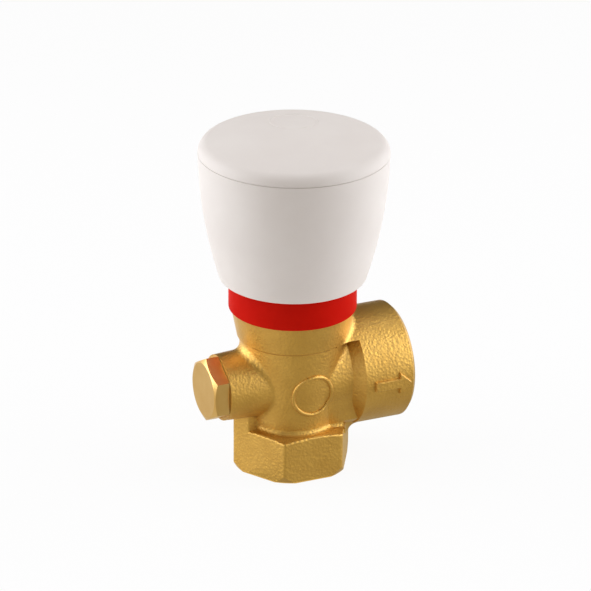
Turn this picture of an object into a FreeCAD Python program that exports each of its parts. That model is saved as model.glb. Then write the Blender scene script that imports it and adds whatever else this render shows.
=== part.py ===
# Differential bypass valve: a forged brass tee whose disc is held shut by a spring, set with a rising knob.
# Millimetres. The origin is the centre of the inlet face, +Z goes up the spindle and +X to the outlet.
import FreeCAD
import Part
import Sketcher
import math
import os

SIZES = {
    # Forged body, outside
    "port_height": 27.0,
    "inlet_flats": 32.0,
    "inlet_hex_height": 13.7,
    "inlet_edge_round": 1.2,
    "inlet_foot_inset": 1.5,
    "inlet_foot_chamfer": 2.6,
    "inlet_shoulder_inset": 0.6,
    "inlet_shoulder_drop": 0.9,
    "inlet_shoulder_round": 0.6,
    "core_radius": 15.5,
    "core_foot_radius": 13.4,
    "neck_foot_rise": 13.4,
    "neck_step": 0.6,
    "neck_top_radius": 17.8,
    "body_top_rise": 21.9,
    "outlet_reach": 32.1,
    "outlet_radius": 17.1,
    "outlet_socket_length": 15.9,
    "outlet_edge_chamfer": 1.1,
    "stub_margin": 0.65,
    "flare_slope": 0.85,
    "boss_reach": 23.2,
    "boss_radius": 9.7,
    "boss_root_radius": 10.9,
    "boss_fillet": 2.6,
    "stub_fillet": 2.4,
    "foot_fillet": 1.5,
    "saddle_fillet": 2.0,
    "keel_slope": 0.18,
    "keel_margin": 0.15,
    "keel_inset": 0.4,
    # Threads and passages
    "port_thread_radius": 13.22,
    "inlet_thread_depth": 11.0,
    "outlet_thread_depth": 12.0,
    "thread_lead": 0.7,
    "seat_bore_radius": 8.0,
    "seat_width": 1.2,
    "seat_rise": 1.0,
    "seat_drop": 9.0,
    "chamber_radius": 11.2,
    "outlet_passage_margin": 0.2,
    "tapping_radius": 4.3,
    "tapping_thread_radius": 6.58,
    "tapping_web": 2.3,
    "bonnet_thread_radius": 13.7,
    "bonnet_bore_depth": 9.9,
    # Side plug
    "plug_flats": 17.0,
    "plug_head_thickness": 4.6,
    "plug_head_gap": 0.15,
    "plug_face_inset": 1.715,
    "plug_chamfer": 0.9,
    "plug_tip_clearance": 0.7,
    # Seals
    "plug_seal_section": 0.9,
    "bonnet_seal_section": 0.87,
    "spindle_seal_section": 0.87,
    "seal_clearance": 0.03,
    # Collar
    "collar_radius": 18.56,
    "collar_wall": 1.5,
    "collar_height": 14.6,
    "collar_flange": 1.4,
    "collar_edge": 0.5,
    # Bonnet and gland
    "bonnet_hex_clearance": 0.9,
    "bonnet_hex_height": 5.0,
    "bonnet_hex_drop": 0.8,
    "bonnet_tube_radius": 11.6,
    "bonnet_neck_radius": 9.2,
    "bonnet_roof": 2.0,
    "spring_chamber_radius": 9.6,
    "spring_chamber_rise": 14.1,
    "spindle_thread_length": 13.0,
    "gland_web": 1.2,
    "gland_depth": 5.8,
    "gland_slot_width": 1.2,
    "gland_slot_depth": 0.8,
    # Spindle and setting travel
    "setting_travel": 7.5,
    "stop_clearance": 0.25,
    "spindle_thread_radius": 6.0,
    "spindle_shank_radius": 4.5,
    "spindle_square": 6.2,
    "spindle_square_drop": 0.3,
    "spindle_edge": 0.6,
    # Knob
    "collar_show": 9.5,
    "knob_rim_clearance": 0.44,
    "knob_radius": 27.45,
    "knob_seam_rise": 3.4,
    "knob_skirt_curve": 134.0,
    "knob_wall": 2.15,
    "knob_rim_round": 0.8,
    "knob_web": 2.5,
    "knob_web_clearance": 0.45,
    "knob_hub_radius": 7.0,
    "knob_hub_height": 5.8,
    "knob_rib_height": 7.0,
    "knob_rib_thickness": 1.6,
    "knob_rib_clearance": 1.2,
    "knob_rib_count": 6,
    "cap_height": 6.05,
    "cap_edge_radius": 3.4,
    "cap_wall": 1.8,
    "cap_seam": 0.18,
    "cap_seam_depth": 0.4,
    "cap_fit": 0.25,
    "cap_spigot_depth": 3.5,
    "cap_spigot_wall": 1.4,
    # Screws and washers
    "screw_radius": 1.95,
    "screw_head_radius": 3.8,
    "screw_head_height": 2.4,
    "screw_length": 7.5,
    "screw_socket_flats": 2.5,
    "screw_socket_depth": 1.4,
    "screw_hole_spare": 1.0,
    "washer_radius": 5.0,
    "washer_thickness": 0.7,
    # Disc, spring plate and spring
    "thrust_washer_inset": 0.4,
    "thrust_washer_thickness": 1.0,
    "plate_thickness": 2.5,
    "guide_clearance": 1.2,
    "guide_length": 14.5,
    "stem_radius": 3.0,
    "stem_length": 27.5,
    "holder_clearance": 1.0,
    "holder_rim": 0.7,
    "holder_thickness": 2.6,
    "holder_boss_clearance": 0.6,
    "holder_boss_height": 2.0,
    "disc_thickness": 2.4,
    "disc_show": 0.6,
    "spring_mean_radius": 7.0,
    "spring_wire_radius": 0.8,
    "spring_turns": 7,
    "spring_coil_gap": 0.04,
    # Fits, all radial
    "thread_clearance": 0.08,
    "running_clearance": 0.06,
    "sliding_clearance": 0.3,
    "press_clearance": 0.05,
}

SHEET = "Sizes"
FULL_TURN = 360.0
EDGE_SLACK = 0.03


class Size:
    """A length together with the sheet expression that gives it."""

    def __init__(self, value, text):
        self.value = float(value)
        self.text = text

    def __add__(self, other):
        other = as_size(other)
        return Size(self.value + other.value, f"({self.text} + {other.text})")

    def __sub__(self, other):
        other = as_size(other)
        return Size(self.value - other.value, f"({self.text} - {other.text})")

    def __mul__(self, other):
        other = as_size(other)
        return Size(self.value * other.value, f"({self.text} * {other.text})")

    def __truediv__(self, other):
        other = as_size(other)
        return Size(self.value / other.value, f"({self.text} / {other.text})")

    def __neg__(self):
        return Size(-self.value, f"(-1 * {self.text})")

    def root(self):
        return Size(math.sqrt(self.value), f"sqrt({self.text})")


def as_size(number):
    """A plain number as a Size, and a Size as it is."""
    return number if isinstance(number, Size) else Size(number, repr(float(number)))


class SizeSheet:
    """The driving dimensions, each an aliased cell of the document's sheet and an attribute here."""

    def __init__(self, doc):
        sheet = doc.addObject("Spreadsheet::Sheet", SHEET)
        for row, (alias, value) in enumerate(SIZES.items(), start=1):
            sheet.set(f"A{row}", alias)
            sheet.set(f"B{row}", str(value))
            sheet.setAlias(f"B{row}", alias)
            setattr(self, alias, Size(value, f"{SHEET}.{alias}"))


doc = FreeCAD.newDocument("differential_bypass_valve")
size = SizeSheet(doc)
doc.recompute()

# Heights that several pieces share
hex_corner = 2.0 / math.sqrt(3.0)
seat_top = size.port_height - size.seat_drop
body_top = size.port_height + size.body_top_rise
neck_foot = size.port_height + size.neck_foot_rise
bonnet_seat = body_top + size.collar_flange
chamber_roof = body_top + size.spring_chamber_rise
gland_floor = chamber_roof + size.spindle_thread_length
bonnet_top = gland_floor + size.gland_web + size.gland_depth
half_travel = size.setting_travel / 2.0
plate_top = chamber_roof - half_travel - size.stop_clearance
plate_bottom = plate_top - size.plate_thickness
spindle_foot = plate_top + size.thrust_washer_thickness
hub_foot = bonnet_top + half_travel + size.knob_web_clearance
hub_top = hub_foot + size.knob_hub_height
knob_rim = body_top + size.collar_show
knob_seam = hub_top + size.knob_seam_rise
holder_foot = seat_top + size.disc_show
disc_top = seat_top + size.disc_thickness
holder_top = disc_top + size.holder_thickness


def core_wall(height):
    """The core's radius at a height: it widens evenly from the hexagon to the neck."""
    share = (height - size.inlet_hex_height) / (neck_foot - size.inlet_hex_height)
    return size.core_foot_radius + (size.core_radius - size.core_foot_radius) * share


def neck_wall(height):
    """The neck's radius at a height: it widens evenly from the core to the collar."""
    foot = size.core_radius + size.neck_step
    share = (height - neck_foot) / (body_top - neck_foot)
    return foot + (size.neck_top_radius - foot) * share


# Radii that several pieces share
stub_radius = core_wall(size.port_height) - size.stub_margin
stub_end = size.core_radius + size.stub_fillet * 2.0
outlet_passage_radius = size.seat_drop - size.outlet_passage_margin
tapping_floor = size.chamber_radius + size.tapping_web
bonnet_shank_radius = size.bonnet_thread_radius - size.thread_clearance
bonnet_seal_bore = bonnet_shank_radius + (size.bonnet_seal_section + size.seal_clearance) * 2.0
plug_shank_radius = size.tapping_thread_radius - size.thread_clearance
plug_seal_bore = plug_shank_radius + (size.plug_seal_section + size.seal_clearance) * 2.0
plug_seal_depth = size.plug_seal_section * 2.0 + size.seal_clearance * 2.0 - size.plug_head_gap
spindle_bore = size.spindle_shank_radius + size.running_clearance
gland_bore = spindle_bore + size.spindle_seal_section * 2.0 + size.seal_clearance
guide_bore = size.stem_radius + size.running_clearance
coil_bore = size.spring_mean_radius - size.spring_wire_radius
knob_rim_radius = size.collar_radius + size.knob_rim_clearance + size.knob_wall
screw_hole = size.screw_radius + size.press_clearance


def new_body(label):
    """An empty body that becomes the node of that name."""
    body = doc.addObject("PartDesign::Body", label)
    body.Label = label
    return body


def origin_plane(body, role):
    """One of the body's own origin planes."""
    return next(item for item in body.Origin.OriginFeatures if item.Role == role)


def new_sketch(body, name, role="XZ_Plane", up=None, out=None, mirrored=False):
    """A sketch on an origin plane, raised by up along its own y and by out along its normal."""
    sketch = body.newObject("Sketcher::SketchObject", name)
    sketch.AttachmentSupport = [(origin_plane(body, role), "")]
    sketch.MapMode = "FlatFace"
    turn = FreeCAD.Rotation(FreeCAD.Vector(0, 1, 0), 180.0 if mirrored else 0.0)
    sketch.AttachmentOffset = FreeCAD.Placement(FreeCAD.Vector(0, 0, 0), turn)
    if up is not None:
        sketch.setExpression("AttachmentOffset.Base.y", up.text)
    if out is not None:
        sketch.setExpression("AttachmentOffset.Base.z", out.text)
    return sketch


def arc_between(start, end, radius):
    """The shorter arc from start to end, bowed right for a positive radius, and if it runs backwards."""
    chord = end - start
    middle = (start + end) * 0.5
    across = FreeCAD.Vector(-chord.y, chord.x, 0).normalize()
    reach = math.sqrt(radius**2 - (chord.Length / 2.0) ** 2)
    centre = middle + across * math.copysign(reach, radius)
    angles = [math.atan2(p.y - centre.y, p.x - centre.x) for p in (start, end)]
    circle = Part.Circle(centre, FreeCAD.Vector(0, 0, 1), abs(radius))
    backwards = radius < 0
    first, last = reversed(angles) if backwards else angles
    return Part.ArcOfCircle(circle, first, last), backwards


def hold(sketch, geometry, end, point):
    """Ties one end of a sketch line to its place, given as two sizes."""
    for kind, value, axis in (("DistanceX", point[0], -2), ("DistanceY", point[1], -1)):
        if value.value == 0.0:
            sketch.addConstraint(Sketcher.Constraint("PointOnObject", geometry, end, axis))
        elif value.value > 0.0:
            index = sketch.addConstraint(Sketcher.Constraint(kind, -1, 1, geometry, end, value.value))
            sketch.setExpression(f"Constraints[{index}]", value.text)
        else:
            index = sketch.addConstraint(Sketcher.Constraint(kind, geometry, end, -1, 1, -value.value))
            sketch.setExpression(f"Constraints[{index}]", (-value).text)


def outline(sketch, corners, arcs=None):
    """Joins corners into a ring with lines, or with arcs of the radii given by the number of the side."""
    arcs = arcs or {}
    places = [(as_size(x), as_size(y)) for x, y in corners]
    points = [FreeCAD.Vector(x.value, y.value, 0) for x, y in places]
    count = len(points)
    ends = []
    for side in range(count):
        start = points[side]
        end = points[(side + 1) % count]
        backwards = False
        if side in arcs:
            curve, backwards = arc_between(start, end, arcs[side].value)
        else:
            curve = Part.LineSegment(start, end)
        index = sketch.addGeometry(curve, False)
        ends.append((index, 2, 1) if backwards else (index, 1, 2))
    for side in range(count):
        index, first, last = ends[side]
        following, next_first, _ = ends[(side + 1) % count]
        sketch.addConstraint(Sketcher.Constraint("Coincident", index, last, following, next_first))
        hold(sketch, index, first, places[side])
        if side in arcs:
            radius = arcs[side] if arcs[side].value > 0 else -arcs[side]
            tie = sketch.addConstraint(Sketcher.Constraint("Radius", index, radius.value))
            sketch.setExpression(f"Constraints[{tie}]", radius.text)
    return sketch


def turned(body, name, sketch, axis="V_Axis", cut=False):
    """Turns a sketch about one of its own axes, as material or as a cut."""
    feature = body.newObject("PartDesign::Groove" if cut else "PartDesign::Revolution", name)
    feature.Profile = sketch
    feature.ReferenceAxis = (sketch, [axis])
    feature.Angle = FULL_TURN
    return feature


def padded(body, name, sketch, length, reverse=False, middle=False):
    """Raises a sketch to a length."""
    feature = body.newObject("PartDesign::Pad", name)
    feature.Profile = sketch
    feature.setExpression("Length", length.text)
    feature.Reversed = reverse
    feature.Midplane = middle
    return feature


def pocketed(body, name, sketch, length, reverse=False):
    """Cuts a sketch to a depth."""
    feature = body.newObject("PartDesign::Pocket", name)
    feature.Profile = sketch
    feature.setExpression("Length", length.text)
    feature.Reversed = reverse
    return feature


def corner_radius(flats):
    """The distance from a hexagon's centre to its corners."""
    return flats * (hex_corner / 2.0)


def hexagon(sketch, flats, corner_up=False):
    """A hexagon of that width across flats, with a corner on the sketch's x axis or on its y axis."""
    far = corner_radius(flats)
    half = far / 2.0
    side = flats / 2.0
    corners = [(far, 0.0), (half, side), (-half, side), (-far, 0.0), (-half, -side), (half, -side)]
    if corner_up:
        corners = [(-y if isinstance(y, Size) else y, x) for x, y in corners]
    return outline(sketch, corners)


def square(sketch, width):
    """A square about the sketch's origin."""
    half = width / 2.0
    return outline(sketch, [(half, -half), (half, half), (-half, half), (-half, -half)])


def turned_piece(label, corners, arcs=None):
    """A piece that is turned in one go about the spindle axis."""
    body = new_body(label)
    turned(body, f"{label}_form", outline(new_sketch(body, f"{label}_section"), corners, arcs))
    return body


def corner_cut(body, name, flats, level, face_radius, drop, far_end=True, axis="V_Axis", **place):
    """The turned chamfer on a hexagon's end: from face_radius on the face, drop deep at the corners."""
    far = corner_radius(flats)
    reach = far - face_radius
    outer = far + reach
    fall = drop * 2.0
    edge = level - fall if far_end else level + fall
    sketch = new_sketch(body, f"{name}_section", **place)
    corners = [(face_radius, level), (outer, level), (outer, edge)]
    if axis == "H_Axis":
        corners = [(y, x) for x, y in corners]
    return turned(body, name, outline(sketch, corners), axis, cut=True)


def edges_where(feature, test):
    """The names of a feature's edges whose points all pass the test."""
    names = []
    for index, edge in enumerate(feature.Shape.Edges, start=1):
        first, last = edge.ParameterRange
        points = [edge.valueAt(first + (last - first) * share / 8.0) for share in range(9)]
        if all(test(point) for point in points):
            names.append(f"Edge{index}")
    return names


def upright_edges(feature):
    """The names of a feature's straight edges that run up."""
    names = []
    for index, edge in enumerate(feature.Shape.Edges, start=1):
        run = edge.Vertexes[-1].Point - edge.Vertexes[0].Point
        if math.hypot(run.x, run.y) < EDGE_SLACK:
            names.append(f"Edge{index}")
    return names


def rounded(body, name, base, names, radius):
    """Fillets the named edges of a feature."""
    feature = body.newObject("PartDesign::Fillet", name)
    feature.Base = (base, names)
    feature.setExpression("Radius", radius.text)
    return feature


def seal_ring(label, ring_radius, section, height):
    """An O-ring about the spindle axis."""
    ring = doc.addObject("Part::Torus", label)
    ring.Label = label
    ring.setExpression("Radius1", ring_radius.text)
    ring.setExpression("Radius2", section.text)
    ring.setExpression("Placement.Base.z", height.text)
    return ring


def inlet_hexagon():
    """The hexagon socket by itself, with its turned ends and the fillet that leads into the core."""
    body = new_body("inlet_hexagon")
    section = hexagon(new_sketch(body, "inlet_hex_section", "XY_Plane"), size.inlet_flats)
    form = padded(body, "inlet_hex", section, size.inlet_hex_height)
    doc.recompute()
    rounded(body, "inlet_edge", form, upright_edges(form), size.inlet_edge_round)
    foot_face = corner_radius(size.inlet_flats) - size.inlet_foot_inset
    corner_cut(body, "inlet_foot", size.inlet_flats, as_size(0.0), foot_face,
               size.inlet_foot_chamfer, far_end=False)
    top = size.inlet_hex_height
    shoulder_face = size.inlet_flats / 2.0 - size.inlet_shoulder_inset
    form = corner_cut(body, "inlet_shoulder", size.inlet_flats, top, shoulder_face,
                      size.inlet_shoulder_drop)
    doc.recompute()
    low = top - size.inlet_shoulder_drop * 2.0
    rim = edges_where(form, lambda point: low.value < point.z < top.value - EDGE_SLACK)
    rounded(body, "inlet_shoulder_edge", form, rim, size.inlet_shoulder_round)
    fillet = size.foot_fillet
    inside = core_wall(top + fillet)
    foot = new_sketch(body, "core_foot_section")
    outline(foot, [
        (0.0, top - fillet),
        (inside + fillet, top - fillet),
        (inside + fillet, top),
        (inside, top + fillet),
        (0.0, top + fillet),
    ], {2: -fillet})
    turned(body, "core_foot", foot)
    return body


def neck_saddle():
    """The back of the outlet's wall by itself, led into the neck by a fillet above the neck's foot."""
    body = new_body("neck_saddle")
    neck = new_sketch(body, "saddle_neck_section")
    outline(neck, [
        (0.0, size.port_height),
        (neck_wall(size.port_height), size.port_height),
        (neck_wall(body_top), body_top),
        (0.0, body_top),
    ])
    turned(body, "saddle_neck", neck)
    reach = size.neck_top_radius + size.saddle_fillet * 2.0
    wall = new_sketch(body, "saddle_wall_section", up=size.port_height)
    outline(wall, [
        (-reach, 0.0),
        (reach, 0.0),
        (reach, size.outlet_radius),
        (-reach, size.outlet_radius),
    ])
    form = turned(body, "saddle_wall", wall, "H_Axis")
    doc.recompute()
    rounded(body, "saddle_fillet", form, neck_edges(form), size.saddle_fillet)

    level = neck_foot - size.neck_step
    keep = size.core_radius / 2.0
    low = size.port_height - size.outlet_radius * 2.0
    high = body_top + size.outlet_radius
    far = reach + size.outlet_radius
    away = new_sketch(body, "saddle_cut_section")
    outline(away, [(-far, low), (far, low), (far, level), (keep, level), (keep, high), (-far, high)])
    cut = pocketed(body, "saddle_cut", away, size.outlet_radius)
    cut.Type = "ThroughAll"
    cut.Midplane = True
    return body


def neck_edges(feature):
    """The edges where the outlet's wall meets the neck."""

    def on_neck(point):
        wall = neck_wall(as_size(point.z)).value
        below = point.z < body_top.value - EDGE_SLACK
        return below and abs(math.hypot(point.x, point.y) - wall) < EDGE_SLACK

    seams = set(edges_where(feature, lambda point: abs(point.y) < EDGE_SLACK))
    return [name for name in edges_where(feature, on_neck) if name not in seams]


def outlet_keel():
    """The web under the outlet stub by itself, with the fillet that leads into the hexagon's shoulder."""
    body = new_body("outlet_keel")
    top = size.inlet_hex_height - size.inlet_shoulder_drop / 2.0
    fillet = size.foot_fillet
    spread = (size.keel_slope * size.keel_slope + 1.0).root()
    radius = stub_radius - size.keel_margin
    side = radius / spread
    side_height = size.port_height - radius * size.keel_slope / spread
    foot = side - (side_height - top - fillet) * size.keel_slope
    web = new_sketch(body, "keel_section", "YZ_Plane")
    outline(web, [
        (-foot - fillet, top - fillet),
        (foot + fillet, top - fillet),
        (foot + fillet, top),
        (foot, top + fillet),
        (side, side_height),
        (-side, side_height),
        (-foot, top + fillet),
        (-foot - fillet, top),
    ], {2: -fillet, 6: -fillet})
    padded(body, "keel", web, stub_end)

    edge = corner_radius(size.inlet_flats) - (foot + fillet / 2.0) / math.sqrt(3.0)
    inside = size.outlet_radius - size.keel_inset
    far = foot * 2.0
    trim = new_sketch(body, "keel_trim_section", up=size.port_height)
    outline(trim, [(edge, inside), (far, inside), (far, far), (edge, far)])
    turned(body, "keel_trim", trim, "H_Axis", cut=True)
    return body


def make_valve_body():
    """The forging: core with tapping boss, outlet stub, neck, hexagon inlet socket and outlet socket."""
    body = new_body("valve_body")
    core_foot = size.port_height - stub_radius - size.stub_fillet * 2.0
    core = new_sketch(body, "core_section")
    outline(core, [
        (0.0, core_foot),
        (core_wall(core_foot), core_foot),
        (core_wall(body_top), body_top),
        (0.0, body_top),
    ])
    turned(body, "core", core)

    boss = new_sketch(body, "boss_section", up=size.port_height, mirrored=True)
    outline(boss, [
        (0.0, 0.0),
        (size.boss_reach, 0.0),
        (size.boss_reach, size.boss_radius),
        (0.0, size.boss_root_radius),
    ])
    form = turned(body, "boss", boss, "H_Axis")
    doc.recompute()
    form = rounded(body, "boss_fillet", form, core_edges(form, core_foot, -1), size.boss_fillet)

    stub = new_sketch(body, "stub_section", up=size.port_height)
    outline(stub, [
        (0.0, 0.0),
        (stub_end, 0.0),
        (stub_end, stub_radius),
        (0.0, stub_radius),
    ])
    form = turned(body, "stub", stub, "H_Axis")
    doc.recompute()
    form = rounded(body, "stub_fillet", form, core_edges(form, core_foot, 1), size.stub_fillet)

    neck = new_sketch(body, "neck_section")
    outline(neck, [
        (0.0, neck_foot - size.neck_step),
        (core_wall(neck_foot - size.neck_step), neck_foot - size.neck_step),
        (neck_wall(neck_foot), neck_foot),
        (neck_wall(body_top), body_top),
        (0.0, body_top),
    ])
    turned(body, "neck", neck)

    join = body.newObject("PartDesign::Boolean", "joined_forms")
    join.Type = "Fuse"
    join.addObjects([inlet_hexagon(), neck_saddle(), outlet_keel()])

    socket_foot = size.outlet_reach - size.outlet_socket_length
    flare_foot = socket_foot - (size.outlet_radius - outlet_passage_radius) * size.flare_slope
    outlet = new_sketch(body, "outlet_section", up=size.port_height)
    outline(outlet, [
        (flare_foot, 0.0),
        (size.outlet_reach, 0.0),
        (size.outlet_reach, size.outlet_radius - size.outlet_edge_chamfer),
        (size.outlet_reach - size.outlet_edge_chamfer, size.outlet_radius),
        (socket_foot, size.outlet_radius),
        (flare_foot, outlet_passage_radius),
    ])
    turned(body, "outlet", outlet, "H_Axis")
    cut_valve_body(body)
    return body


def core_edges(feature, core_foot, side):
    """The edges where a branch on that side of the core leaves the core's wall."""

    def on_core(point):
        wall = core_wall(as_size(point.z)).value
        inside = core_foot.value + EDGE_SLACK < point.z < body_top.value - EDGE_SLACK
        return inside and point.x * side > 0.0 and abs(math.hypot(point.x, point.y) - wall) < EDGE_SLACK

    seams = set(edges_where(feature, lambda point: abs(point.y) < EDGE_SLACK))
    return [name for name in edges_where(feature, on_core) if name not in seams]


def cut_valve_body(body):
    """The bores: inlet, seat, chamber and bonnet bore from below, outlet, and tapping."""
    floor = seat_top - size.seat_rise
    seat_edge = size.seat_bore_radius + size.seat_width
    bore_foot = body_top - size.bonnet_bore_depth
    seal_floor = body_top - size.bonnet_seal_section * 2.0 - size.seal_clearance * 2.0
    way = new_sketch(body, "spindle_way_section")
    outline(way, [
        (0.0, 0.0),
        (size.port_thread_radius, 0.0),
        (size.port_thread_radius, size.inlet_thread_depth),
        (size.seat_bore_radius, size.inlet_thread_depth),
        (size.seat_bore_radius, seat_top),
        (seat_edge, seat_top),
        (seat_edge, floor),
        (size.chamber_radius, floor),
        (size.chamber_radius, bore_foot),
        (size.bonnet_thread_radius, bore_foot),
        (size.bonnet_thread_radius, seal_floor),
        (bonnet_seal_bore, seal_floor),
        (bonnet_seal_bore, body_top),
        (0.0, body_top),
    ])
    turned(body, "spindle_way", way, cut=True)

    socket_floor = size.outlet_reach - size.outlet_thread_depth
    way = new_sketch(body, "outlet_way_section", up=size.port_height)
    outline(way, [
        (0.0, 0.0),
        (size.outlet_reach, 0.0),
        (size.outlet_reach, size.port_thread_radius + size.thread_lead),
        (size.outlet_reach - size.thread_lead, size.port_thread_radius),
        (socket_floor, size.port_thread_radius),
        (socket_floor, outlet_passage_radius),
        (0.0, outlet_passage_radius),
    ])
    turned(body, "outlet_way", way, "H_Axis", cut=True)

    way = new_sketch(body, "tapping_section", up=size.port_height, mirrored=True)
    outline(way, [
        (0.0, 0.0),
        (size.boss_reach, 0.0),
        (size.boss_reach, plug_seal_bore),
        (size.boss_reach - plug_seal_depth, plug_seal_bore),
        (size.boss_reach - plug_seal_depth, size.tapping_thread_radius),
        (tapping_floor, size.tapping_thread_radius),
        (tapping_floor, size.tapping_radius),
        (0.0, size.tapping_radius),
    ])
    turned(body, "tapping", way, "H_Axis", cut=True)


def make_side_plug():
    """The plug in the tapping: a threaded shank with a turned hexagon head."""
    body = new_body("side_plug")
    tip = tapping_floor + size.plug_tip_clearance
    head_foot = size.boss_reach + size.plug_head_gap
    head_face = head_foot + size.plug_head_thickness
    shank = new_sketch(body, "plug_shank_section", up=size.port_height, mirrored=True)
    outline(shank, [
        (tip, 0.0),
        (head_face - size.plug_chamfer, 0.0),
        (head_face - size.plug_chamfer, plug_shank_radius),
        (tip + size.thread_lead, plug_shank_radius),
        (tip, plug_shank_radius - size.thread_lead),
    ])
    turned(body, "plug_shank", shank, "H_Axis")
    head = new_sketch(body, "plug_head_section", "YZ_Plane", up=size.port_height, out=-head_foot)
    hexagon(head, size.plug_flats, corner_up=True)
    padded(body, "plug_head", head, size.plug_head_thickness, reverse=True)
    face_radius = corner_radius(size.plug_flats) - size.plug_face_inset
    corner_cut(body, "plug_edge", size.plug_flats, head_face, face_radius, size.plug_chamfer,
               axis="H_Axis", up=size.port_height, mirrored=True)
    return body


def make_plug_seal():
    """The O-ring in the mouth of the tapping, under the plug's head."""
    ring = seal_ring("plug_seal", plug_shank_radius + size.plug_seal_section + size.seal_clearance,
                     size.plug_seal_section, size.port_height)
    ring.Placement.Rotation = FreeCAD.Rotation(FreeCAD.Vector(0, 1, 0), 90.0)
    middle = size.boss_reach + size.plug_head_gap - size.seal_clearance - size.plug_seal_section
    ring.setExpression("Placement.Base.x", (-middle).text)
    return ring


def make_bonnet():
    """The bonnet: threaded foot, hexagon, spring chamber, spindle thread and the gland at its top."""
    body = new_body("bonnet")
    foot = body_top - size.bonnet_bore_depth + size.sliding_clearance
    hex_top = bonnet_seat + size.bonnet_hex_height
    shoulder = chamber_roof + size.bonnet_roof
    form = new_sketch(body, "bonnet_section")
    outline(form, [
        (0.0, foot),
        (bonnet_shank_radius, foot),
        (bonnet_shank_radius, hex_top - size.bonnet_hex_drop),
        (size.bonnet_tube_radius, hex_top - size.bonnet_hex_drop),
        (size.bonnet_tube_radius, shoulder),
        (size.bonnet_neck_radius, shoulder),
        (size.bonnet_neck_radius, bonnet_top),
        (0.0, bonnet_top),
    ])
    turned(body, "bonnet_form", form)
    flats = (size.collar_radius - size.collar_wall - size.bonnet_hex_clearance) * math.sqrt(3.0)
    nut = new_sketch(body, "bonnet_hex_section", "XY_Plane", out=bonnet_seat)
    padded(body, "bonnet_hex", hexagon(nut, flats), size.bonnet_hex_height)
    corner_cut(body, "bonnet_hex_edge", flats, hex_top, flats / 2.0, size.bonnet_hex_drop)
    thread_bore = size.spindle_thread_radius + size.running_clearance
    gland_seat = gland_floor + size.gland_web
    way = new_sketch(body, "bonnet_way_section")
    outline(way, [
        (0.0, foot),
        (size.spring_chamber_radius, foot),
        (size.spring_chamber_radius, chamber_roof),
        (thread_bore, chamber_roof),
        (thread_bore, gland_floor),
        (spindle_bore, gland_floor),
        (spindle_bore, gland_seat),
        (gland_bore, gland_seat),
        (gland_bore, bonnet_top),
        (0.0, bonnet_top),
    ])
    turned(body, "bonnet_way", way, cut=True)
    return body


def make_bonnet_seal():
    """The O-ring between the bonnet's shank and the neck."""
    radius = bonnet_shank_radius + size.bonnet_seal_section + size.seal_clearance
    return seal_ring("bonnet_seal", radius, size.bonnet_seal_section,
                     body_top - size.bonnet_seal_section - size.seal_clearance)


def make_gland():
    """The two spindle O-rings, one on the other, and the slotted nut that keeps them in."""
    section = size.spindle_seal_section
    radius = spindle_bore + section
    step = section * 2.0 + size.seal_clearance
    lower = gland_floor + size.gland_web + size.seal_clearance + section
    upper = lower + step
    nut_foot = upper + section + size.seal_clearance
    nut_radius = gland_bore - size.thread_clearance
    nut = turned_piece("gland_nut", [
        (spindle_bore, nut_foot),
        (nut_radius, nut_foot),
        (nut_radius, bonnet_top),
        (spindle_bore, bonnet_top),
    ])
    half = size.gland_slot_width / 2.0
    slot = new_sketch(nut, "gland_slot_section", "XY_Plane", out=bonnet_top)
    outline(slot, [(-gland_bore, -half), (gland_bore, -half), (gland_bore, half), (-gland_bore, half)])
    pocketed(nut, "gland_slot", slot, size.gland_slot_depth)
    return [
        seal_ring("spindle_seal_lower", radius, section, lower),
        seal_ring("spindle_seal_upper", radius, section, upper),
        nut,
    ]


def make_scale_collar():
    """The red collar: a sleeve whose inner flange is clamped between neck and bonnet."""
    inside = size.collar_radius - size.collar_wall
    top = body_top + size.collar_height
    body = turned_piece("scale_collar", [
        (size.bonnet_thread_radius, body_top),
        (size.collar_radius, body_top),
        (size.collar_radius, top),
        (inside, top),
        (inside, bonnet_seat),
        (size.bonnet_thread_radius, bonnet_seat),
    ])
    doc.recompute()
    rounded(body, "collar_edge", body.Tip, circle_edges(body.Tip, size.collar_radius), size.collar_edge)
    return body


def circle_edges(feature, radius, height=None):
    """The edges that run round the spindle axis at a radius, at one height if that is given."""

    def on_circle(point):
        level = height is None or abs(point.z - height.value) < EDGE_SLACK
        return level and abs(math.hypot(point.x, point.y) - radius.value) < EDGE_SLACK

    names = edges_where(feature, on_circle)
    return [name for name in names if feature.Shape.getElement(name).isClosed()]


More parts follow.
